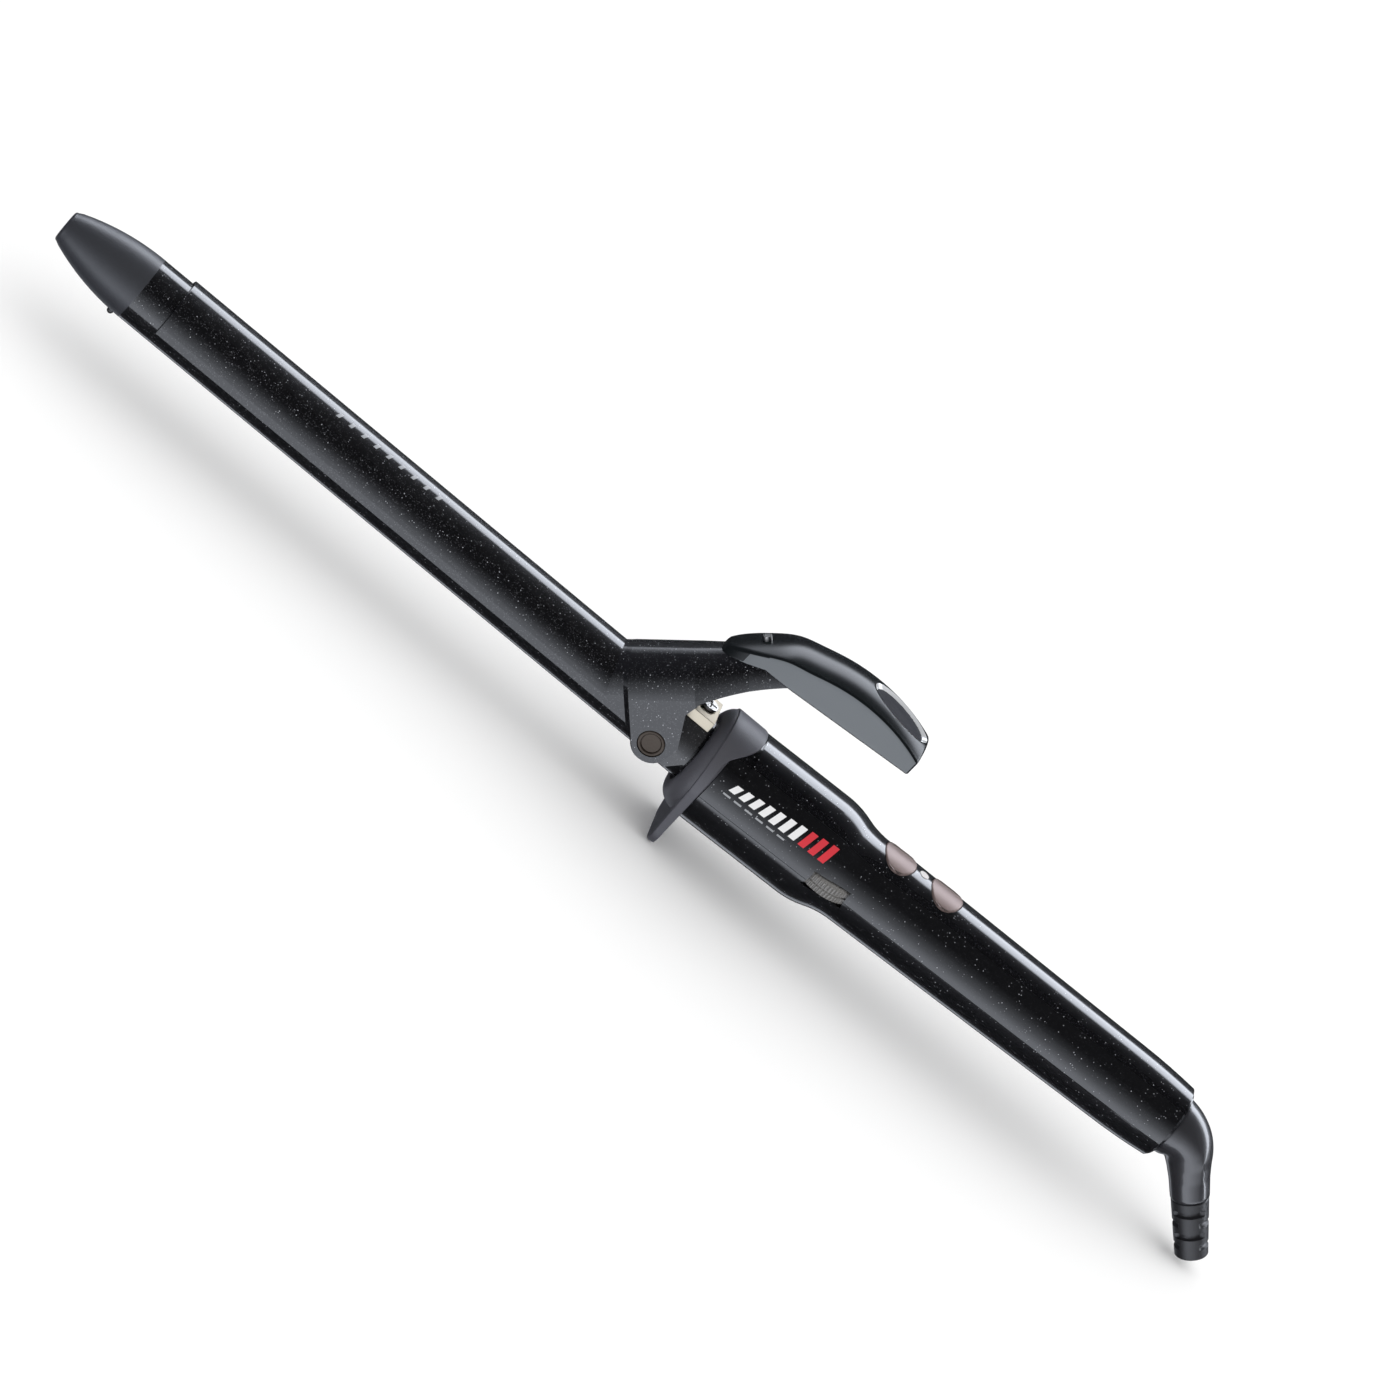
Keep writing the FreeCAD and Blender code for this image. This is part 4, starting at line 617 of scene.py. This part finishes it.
def lever_ring(x, inset):
    """Points round the section: over the dome, down one side, under it and up the other side."""
    w = lever_half_width(x) - inset
    top = lever_top(x) - inset * 0.5
    dome = LEVER_DOME * (w / LEVER_HALF) ** 2
    corner = top - dome
    low = min(lever_low(x), corner - LEAST_SIDE) + inset * 0.5
    edge, foot = min(TOP_EDGE, w * 0.4), min(LOW_EDGE, w * 0.3)
    over = []
    for k in range(TOP_STEPS + 1):
        y = -w + edge + (2 * w - 2 * edge) * k / TOP_STEPS
        over.append((y, top - dome * (y / w) ** 2 - rest_dip(x, y)))
    right = []
    for k in range(1, TOP_EDGE_STEPS + 1):
        turn = math.pi / 2 * k / TOP_EDGE_STEPS
        right.append((w - edge + edge * math.sin(turn),
                      corner + dome * 0.16 - edge * (1 - math.cos(turn))))
    side_top, side_low = right[-1][1], low + foot
    for k in range(1, SIDE_STEPS):
        right.append((w, side_top + (side_low - side_top) * k / SIDE_STEPS))
    for k in range(LOW_EDGE_STEPS + 1):
        turn = math.pi / 2 * k / LOW_EDGE_STEPS
        right.append((w - foot + foot * math.cos(turn), low + foot - foot * math.sin(turn)))
    under = [(w - foot - (2 * w - 2 * foot) * k / UNDER_STEPS, low)
             for k in range(1, UNDER_STEPS)]
    left = [(-y, z) for y, z in reversed(right)]
    return [Vector((x * MM, y * MM, z * MM)) for y, z in over + right + under + left]


stations = [LEVER_FRONT + (LEVER_REAR - LEVER_FRONT) * k / LEVER_STEPS
            for k in range(LEVER_STEPS + 1)]
lever_rings = [lever_ring(LEVER_FRONT, 1.2), lever_ring(LEVER_FRONT + 0.05, 0.5)]
lever_rings += [lever_ring(x, 0.0) for x in stations[1:-2]]
lever_rings += [lever_ring(LEVER_REAR - back, inset) for back, inset in REAR_EDGE]
lever_mesh = skin(lever_rings)
lever_mesh.transform(barrel_frame)
lever = bpy.data.objects.new("thumb_lever_skin", lever_mesh)
finish_piece(lever, body_of("thumb_lever"), "lever_plastic")
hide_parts("thumb_lever")
# Faces that look sideways take the lighter grey of lever_side: a painted sheen on the same black
# plastic as the crown.
lever_mesh.materials.append(FINISHES["lever_side"])
for face in lever_mesh.polygons:
    face.material_index = int(abs(face.normal.y) > PAINTED_SHEEN_FACING)
print("lever", len(lever_mesh.vertices), "points")

# %% [markdown]
# The floor of the thumb rest is a thin matte inlay inside a rim. The rim is a flat light grey band,
# a painted highlight in place of a bright bevelled edge. Both follow the lever's crown, so they are
# made as bands of an oval laid on the same curve.

# %% Thumb rest inlay and rim
INLAY_HOLE, INLAY_EDGE, INLAY_LIFT = 0.03, 0.86, 0.12
RIM_INNER, RIM_OUTER, RIM_LIFT = 0.87, 0.995, 0.06


def oval_band(inner, outer, lift, rings=6, count=96):
    """A strip between two scaled ovals on the floor of the thumb rest."""
    mesh = bpy.data.meshes.new("band")
    points, faces = [], []
    for i in range(rings + 1):
        share = inner + (outer - inner) * i / rings
        for k in range(count):
            turn = 2 * math.pi * k / count
            x = REST_X + REST_LONG * share * math.cos(turn)
            y = REST_WIDE * share * math.sin(turn)
            z = lever_top(x) - LEVER_DOME * (y / LEVER_HALF) ** 2 - rest_dip(x, y) + lift
            points.append((x * MM, y * MM, z * MM))
    for i in range(rings):
        for k in range(count):
            a, b = i * count + k, i * count + (k + 1) % count
            faces.append((a, b, b + count, a + count))
    if inner <= INLAY_HOLE:
        faces.append(tuple(reversed(range(count))))
    mesh.from_pydata(points, [], faces)
    mesh.transform(barrel_frame)
    mesh.shade_smooth()
    return mesh


inlay = bpy.data.objects.new("thumb_rest_inlay",
                             oval_band(INLAY_HOLE, INLAY_EDGE, INLAY_LIFT))
finish_piece(inlay, body_of("thumb_pad"), "pad_plastic")
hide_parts("thumb_pad")
# The rim band is flat; its light grey is a painted highlight of a bevelled edge.
rim = bpy.data.objects.new("thumb_rest_rim", oval_band(RIM_INNER, RIM_OUTER, RIM_LIFT))
bpy.context.scene.collection.objects.link(rim)
rim.data.materials.append(FINISHES["rim"])
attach(rim, body_of("thumb_pad"))
print("thumb rest", REST_LONG * 2, "by", REST_WIDE * 2, "mm")

# %% [markdown]
# The collar joins the hot half to the handle and carries the rest foot. Its front is a soft dome
# round the barrel that ends in a crisp crest. Above, a hood runs back over the handle, and below,
# the foot is a flat plate. The outline is drawn once as a distance at each angle, and rings carry
# it from front to rear.

# %% Collar with its rest foot
COLLAR_RADIUS, COLLAR_DROP, COLLAR_BORE, SHOULDER_DROP = 16.2, 0.8, 9.95, 2.8
FOOT_SIDE, FOOT_LOW, FOOT_CORNER, FOOT_STEPS = 12.8, 25.5, 6.0, 12
HOOD_REACH, HOOD_SPREAD, HOOD_FADE = 5.7, 60.0, 1.6
CREST_X, CREST_LEAN, REAR_X, REAR_LEAN = -6.87, 0.082, -3.85, 0.045
CREST_INSET, FRONT_INSET, FRONT_SWELL, FOOT_FROM = 0.5, 0.45, 0.25, 17
DOME_FRONT, DOME_START, DOME_STEPS, DOME_SWING = -10.6, 11.3, 12, math.radians(68)
BORE_REAR, BORE_FRONT, SEAT_RADIUS, REAR_RADIUS = -3.6, -10.3, 15.4, 15.45


def collar_outline():
    """Corner points (side, height) of one half of the collar below its round part."""
    points = [(COLLAR_RADIUS, 0.0), (COLLAR_RADIUS, -SHOULDER_DROP),
              (FOOT_SIDE, -FOOT_LOW + FOOT_CORNER)]
    for k in range(1, FOOT_STEPS + 1):
        turn = math.pi / 2 * k / FOOT_STEPS
        points.append((FOOT_SIDE - FOOT_CORNER + FOOT_CORNER * math.cos(turn),
                       -FOOT_LOW + FOOT_CORNER - FOOT_CORNER * math.sin(turn)))
    points.append((0.0, -FOOT_LOW))
    return [(side, height + COLLAR_DROP) for side, height in points]


outline_points = collar_outline()


def collar_reach(turn):
    """Distance from the axis to the outline; turn is 0 at the top and grows to either side."""
    side, height = abs(math.sin(turn)), math.cos(turn)
    if height >= 0:
        return COLLAR_RADIUS
    for (y0, z0), (y1, z1) in zip(outline_points, outline_points[1:]):
        bottom = side * (z1 - z0) - height * (y1 - y0)
        if abs(bottom) < 1e-9:
            continue
        share = (height * y0 - side * z0) / bottom
        if -1e-6 <= share <= 1 + 1e-6:
            return math.hypot(y0 + (y1 - y0) * share, z0 + (z1 - z0) * share)
    return FOOT_LOW - COLLAR_DROP


def crest_x(height):
    return CREST_X - CREST_LEAN * height


def rear_x(turn, height):
    spread = min(abs(math.degrees(math.remainder(turn, 2 * math.pi))) / HOOD_SPREAD, 1.0)
    hood = (1 + math.cos(math.pi * spread ** HOOD_FADE)) / 2
    return REAR_X - REAR_LEAN * height * (1 - hood) + HOOD_REACH * hood


def collar_ring(place, count=180):
    """A ring from place(turn, reach), which gives (x, radius) at each angle."""
    ring = []
    for k in range(count):
        turn = 2 * math.pi * k / count
        x, r = place(turn, collar_reach(turn))
        ring.append(Vector((x, r * math.sin(turn), r * math.cos(turn) - COLLAR_DROP)) * MM)
    return ring


def front_face(share):
    """Across the flat front of the foot, or over the crest where there is no foot."""
    def place(turn, reach):
        inner = COLLAR_RADIUS - CREST_INSET
        r = inner + (reach - FRONT_INSET - inner) * share
        swell = FRONT_SWELL * math.sin(math.pi * share) if reach > FOOT_FROM else 0.0
        return crest_x(r * math.cos(turn)) + swell, r
    return place


def outer_edge(lift, inset):
    return lambda turn, reach: (crest_x(reach * math.cos(turn)) + lift, reach - inset)


def rear_edge(lift, inset):
    return lambda turn, reach: (rear_x(turn, reach * math.cos(turn)) - lift, reach - inset)


def dome(share):
    def place(turn, reach):
        end = COLLAR_RADIUS - CREST_INSET
        swing = DOME_SWING * share
        out = math.sin(swing) / math.sin(DOME_SWING)
        back = (1 - math.cos(swing)) / (1 - math.cos(DOME_SWING))
        r = DOME_START + (end - DOME_START) * out
        return DOME_FRONT + (crest_x(end * math.cos(turn)) - DOME_FRONT) * back, r
    return place


def band(share):
    def place(turn, reach):
        start = crest_x(reach * math.cos(turn)) + 0.5
        finish = rear_x(turn, reach * math.cos(turn)) - 0.4
        return start + (finish - start) * share, reach
    return place


def turned(x, radius):
    return lambda turn, reach: (x, radius)


places = [turned(BORE_REAR, COLLAR_BORE), turned(BORE_FRONT, COLLAR_BORE),
          turned(DOME_FRONT + 0.05, COLLAR_BORE + 0.3)]
places += [dome(k / DOME_STEPS) for k in range(DOME_STEPS + 1)]
places += [front_face(share) for share in (0.04, 0.2, 0.5, 0.8, 1.0)]
places += [outer_edge(0.08, 0.2), outer_edge(0.22, 0.06), outer_edge(0.45, 0.0)]
places += [band(share) for share in (0.2, 0.4, 0.6, 0.8, 1.0)]
places += [rear_edge(0.15, 0.05), rear_edge(0.03, 0.2), rear_edge(0.0, 0.45),
           lambda turn, reach: (rear_x(turn, reach * math.cos(turn)), REAR_RADIUS),
           turned(BORE_REAR, SEAT_RADIUS)]
collar_rings = [collar_ring(place) for place in places]
collar_mesh = skin(collar_rings + [collar_rings[0]], closed_ends=False)
collar_mesh.transform(barrel_frame)
collar = bpy.data.objects.new("collar_skin", collar_mesh)
finish_piece(collar, body_of("collar"), "collar_plastic")
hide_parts("collar")
print("collar", len(collar_mesh.vertices), "points")

# %% [markdown]
# The hinge pins are short rivets with a cupped head. Only the heads show at the ears, each as a
# dark disc with a raised ring, so each pin is turned about its own axis, with the cup facing out.

# %% Hinge pins
pin_place = Vector(joints["clamp_hinge"]["pos_m"])
PIN_REACH, PIN_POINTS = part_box("hinge_pins")[1].y / MM, 64
# (distance out from the end of the head, radius) from the shank's end to the middle of the cup.
PIN_OUTLINE = ((-3.2, 0.0), (-3.2, 1.95), (-0.9, 1.95), (-0.9, 3.7), (-0.25, 3.75), (-0.06, 3.6),
               (0.0, 3.35), (0.0, 3.0), (-0.12, 2.75), (-0.4, 2.6), (-0.45, 1.2), (-0.42, 0.0))
pin_profile = [(PIN_REACH + out, r) for out, r in PIN_OUTLINE]
pin_parts = []
for sign in (1, -1):
    facing = Matrix.Translation(pin_place) @ Matrix.Rotation(sign * math.pi / 2, 4, "Z")
    pin_parts.append(lathe(pin_profile, facing, PIN_POINTS))
pin_shape = bmesh.new()
for part in pin_parts:
    pin_shape.from_mesh(part)
pin_mesh = bpy.data.meshes.new("hinge_pin_heads")
pin_shape.to_mesh(pin_mesh)
pin_shape.free()
pin_mesh.shade_smooth()
pin_mesh.set_sharp_from_angle(angle=SHARP_ANGLE)
pins = bpy.data.objects.new("hinge_pin_heads", pin_mesh)
finish_piece(pins, body_of("hinge_pins"), "pin_bronze")
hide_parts("hinge_pins")
print("hinge pins", len(pin_mesh.vertices), "points")

# %% [markdown]
# Printed marks sit on the handle's side and on the clamp: a rising row of slanted bars that
# stands for heat, with the hottest in red, and a row of faint silver dashes. Each bar is a small
# curved patch laid just above the surface, in the way pad printing lies on a finished part.

# %% Printed marks
PRINT_LIFT, PATCH_STEPS = 0.03, 8
BARS, RED_BARS, BAR_START, BAR_PITCH, BAR_WIDTH, BAR_LEAN = 10, 3, 1.2, 3.3, 2.0, 1.3
BAR_FOOT, BAR_TALL, BAR_GROWTH = 73.0, 9.0, 1.3
DASHES, DASH_START, DASH_PITCH, DASH_LENGTH, DASH_HIGH, DASH_LOW = 6, 0.6, 3.6, 2.4, 77.2, 79.0
CLAMP_OUTER, CLAMP_DASHES, CLAMP_DASH_START, CLAMP_DASH_PITCH = 10.45, 9, -140.0, 4.2
CLAMP_DASH_LEAN, CLAMP_DASH_WIDTH, CLAMP_DASH_HIGH, CLAMP_DASH_LOW = 0.8, 1.1, 14.0, 24.0


def printed_patch(frame_matrix, radius, corners, name, material, body):
    """A four-cornered patch on a round surface; corners are (x, degrees down from the top)."""
    a, b, c, d = corners
    points, faces = [], []
    for i in range(PATCH_STEPS + 1):
        u = i / PATCH_STEPS
        for low, high in ((a, b), (d, c)):
            x, drop = (start * (1 - u) + end * u for start, end in zip(low, high))
            turn = math.radians(drop)
            points.append((x * MM, -radius * math.sin(turn) * MM, radius * math.cos(turn) * MM))
    for i in range(PATCH_STEPS):
        faces.append((2 * i, 2 * i + 2, 2 * i + 3, 2 * i + 1))
    mesh = bpy.data.meshes.new(name)
    mesh.from_pydata(points, [], faces)
    mesh.transform(frame_matrix)
    patch = bpy.data.objects.new(name, mesh)
    bpy.context.scene.collection.objects.link(patch)
    mesh.materials.append(material)
    mesh.shade_smooth()
    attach(patch, body)


def slanted(start, width, lean, low, high):
    """Corners of a mark that leans forward from its low edge to its high one."""
    return [(start, low), (start + lean, high), (start + lean + width, high), (start + width, low)]


INK_GRAIN = {"scale": 9000.0, "depth": 0.000003}
white_ink = grained("white_ink", (0.75, 0.75, 0.76), 0.45, **INK_GRAIN)
red_ink = grained("red_ink", (0.62, 0.015, 0.03), 0.42, **INK_GRAIN)
silver_ink = grained("silver_ink", (0.30, 0.31, 0.33), 0.35, **INK_GRAIN)
for k in range(BARS):
    corners = slanted(BAR_START + BAR_PITCH * k, BAR_WIDTH, BAR_LEAN,
                      BAR_FOOT, BAR_FOOT - (BAR_TALL + BAR_GROWTH * k))
    printed_patch(handle_frame, HANDLE_RADIUS + PRINT_LIFT, corners, f"heat_bar_{k}",
                  red_ink if k >= BARS - RED_BARS else white_ink, "handle")
for k in range(DASHES):
    corners = slanted(DASH_START + DASH_PITCH * k, DASH_LENGTH, 0.0, DASH_LOW, DASH_HIGH)
    printed_patch(handle_frame, HANDLE_RADIUS + PRINT_LIFT, corners, f"small_dash_{k}",
                  silver_ink, "handle")
for k in range(CLAMP_DASHES):
    corners = slanted(CLAMP_DASH_START + CLAMP_DASH_PITCH * k, CLAMP_DASH_WIDTH, CLAMP_DASH_LEAN,
                      CLAMP_DASH_LOW, CLAMP_DASH_HIGH)
    printed_patch(barrel_frame, CLAMP_OUTER + PRINT_LIFT, corners, f"clamp_dash_{k}",
                  silver_ink, "clamp")
print("printed marks:", BARS, "bars,", DASHES, "dashes,", CLAMP_DASHES, "clamp dashes")

# %% [markdown]
# The studio is a pale floor under an even white sky, which lights the matte parts softly. Gloss
# black shows only what it mirrors, so mirror rays see a different sky: a dark room with a strip
# of light high at the back, a broad soft panel low in front that ends in a clean edge, and a
# faint line behind the floor. The side towards the tip is dark, and the even sky too is dimmer
# there.

# %% Floor
HALF_FLOOR = 3.0
floor_corners = [(x * HALF_FLOOR, y * HALF_FLOOR, 0)
                 for x, y in ((-1, -1), (1, -1), (1, 1), (-1, 1))]
floor_mesh = bpy.data.meshes.new("floor")
floor_mesh.from_pydata(floor_corners, [], [(0, 1, 2, 3)])
floor = bpy.data.objects.new("floor", floor_mesh)
bpy.context.scene.collection.objects.link(floor)
floor_mesh.materials.append(new_material("floor_pale", (0.93, 0.93, 0.93), 0.9, specular=0.0)[0])
floor.visible_glossy = False
print("floor", 2 * HALF_FLOOR, "m across")

# %% Sky
# (degrees up from the front, brightness) of what mirror rays see, over the top and down the back.
SKY_BANDS = [(-180, 0.05), (-134, 0.05), (-131, 0.7), (-119, 0.7), (-116, 0.02), (-50, 0.02),
             (-47, 2.9), (-30, 2.7), (-8, 1.2), (15, 0.3), (32, 0.02), (117, 0.02), (124, 7.5),
             (145, 7.5), (151, 0.05), (180, 0.05)]
BAND_TINT, DARK_SIDE = (0.93, 0.98, 1.08), (0.012, 0.012, 0.014, 1)
DARK_FROM, LIT_FROM, EVEN_SLOPE, EVEN_LEVEL = -0.80, -0.40, 0.55, 1.17
SKY_PEAK = max(level for _, level in SKY_BANDS)
world = bpy.data.worlds.new("studio")
bpy.context.scene.world = world
world.use_nodes = True
sky = world.node_tree
background = sky.nodes["Background"]
place = sky.nodes.new("ShaderNodeTexCoord")
split = sky.nodes.new("ShaderNodeSeparateXYZ")
sky.links.new(place.outputs["Generated"], split.inputs["Vector"])
rise = maths(sky, "ARCTAN2", split.outputs["Z"], maths(sky, "MULTIPLY", split.outputs["Y"], -1.0))
share = maths(sky, "ADD", maths(sky, "DIVIDE", rise, 2 * math.pi), 0.5)
bands = sky.nodes.new("ShaderNodeValToRGB")
sky.links.new(share, bands.inputs["Fac"])
stops = bands.color_ramp.elements
while len(stops) > 1:
    stops.remove(stops[-1])
stops[0].position = 0.0
stops[0].color = (SKY_BANDS[0][1] / SKY_PEAK,) * 3 + (1,)
for degrees, level in SKY_BANDS[1:]:
    stops.new((degrees + 180) / 360).color = (level / SKY_PEAK,) * 3 + (1,)
tip_side = ramped(sky, split.outputs["X"], DARK_FROM, LIT_FROM)
shaded = mixed(sky, tip_side, DARK_SIDE, bands.outputs["Color"])
tint = tuple(SKY_PEAK * part for part in BAND_TINT) + (1,)
mirror_sky = mixed(sky, 1.0, shaded, tint, blend="MULTIPLY")
even = maths(sky, "MULTIPLY_ADD", split.outputs["X"], EVEN_SLOPE)
even.node.inputs[2].default_value = EVEN_LEVEL
ray = sky.nodes.new("ShaderNodeLightPath")
seen = mixed(sky, ray.outputs["Is Glossy Ray"], even, mirror_sky)
sky.links.new(seen, background.inputs["Color"])
bpy.context.scene.view_settings.view_transform = "Standard"
world.cycles.sampling_method = "NONE"
print("sky bands:", len(SKY_BANDS))

# %% [markdown]
# A long lens from 1.8 m keeps the iron nearly free of perspective. The camera stands in front and
# a little to the tip's side, 25 degrees up, and rolls so that the iron runs down to the right
# across the frame.

# %% Camera
CAMERA_RIGHT = Vector((0.76052256, 0.16912478, 0.62689892))
CAMERA_UP = Vector((-0.63184657, 0.41518472, 0.65451628))
CAMERA_BACK = Vector((-0.14958393, -0.89387832, 0.42261826))
CAMERA_FROM_DATUM = Vector((-0.286870, -1.604509, 0.770094))
camera_data = bpy.data.cameras.new("camera")
camera = bpy.data.objects.new("camera", camera_data)
bpy.context.scene.collection.objects.link(camera)
camera.matrix_world = Matrix.Translation(barrel_frame.translation + CAMERA_FROM_DATUM) @ Matrix(
    (CAMERA_RIGHT, CAMERA_UP, CAMERA_BACK)).transposed().to_4x4()
camera_data.sensor_width, camera_data.lens, camera_data.clip_end = 36.0, 175.886, 20.0
bpy.context.scene.camera = camera
print("camera at", [round(c, 3) for c in camera.matrix_world.translation])
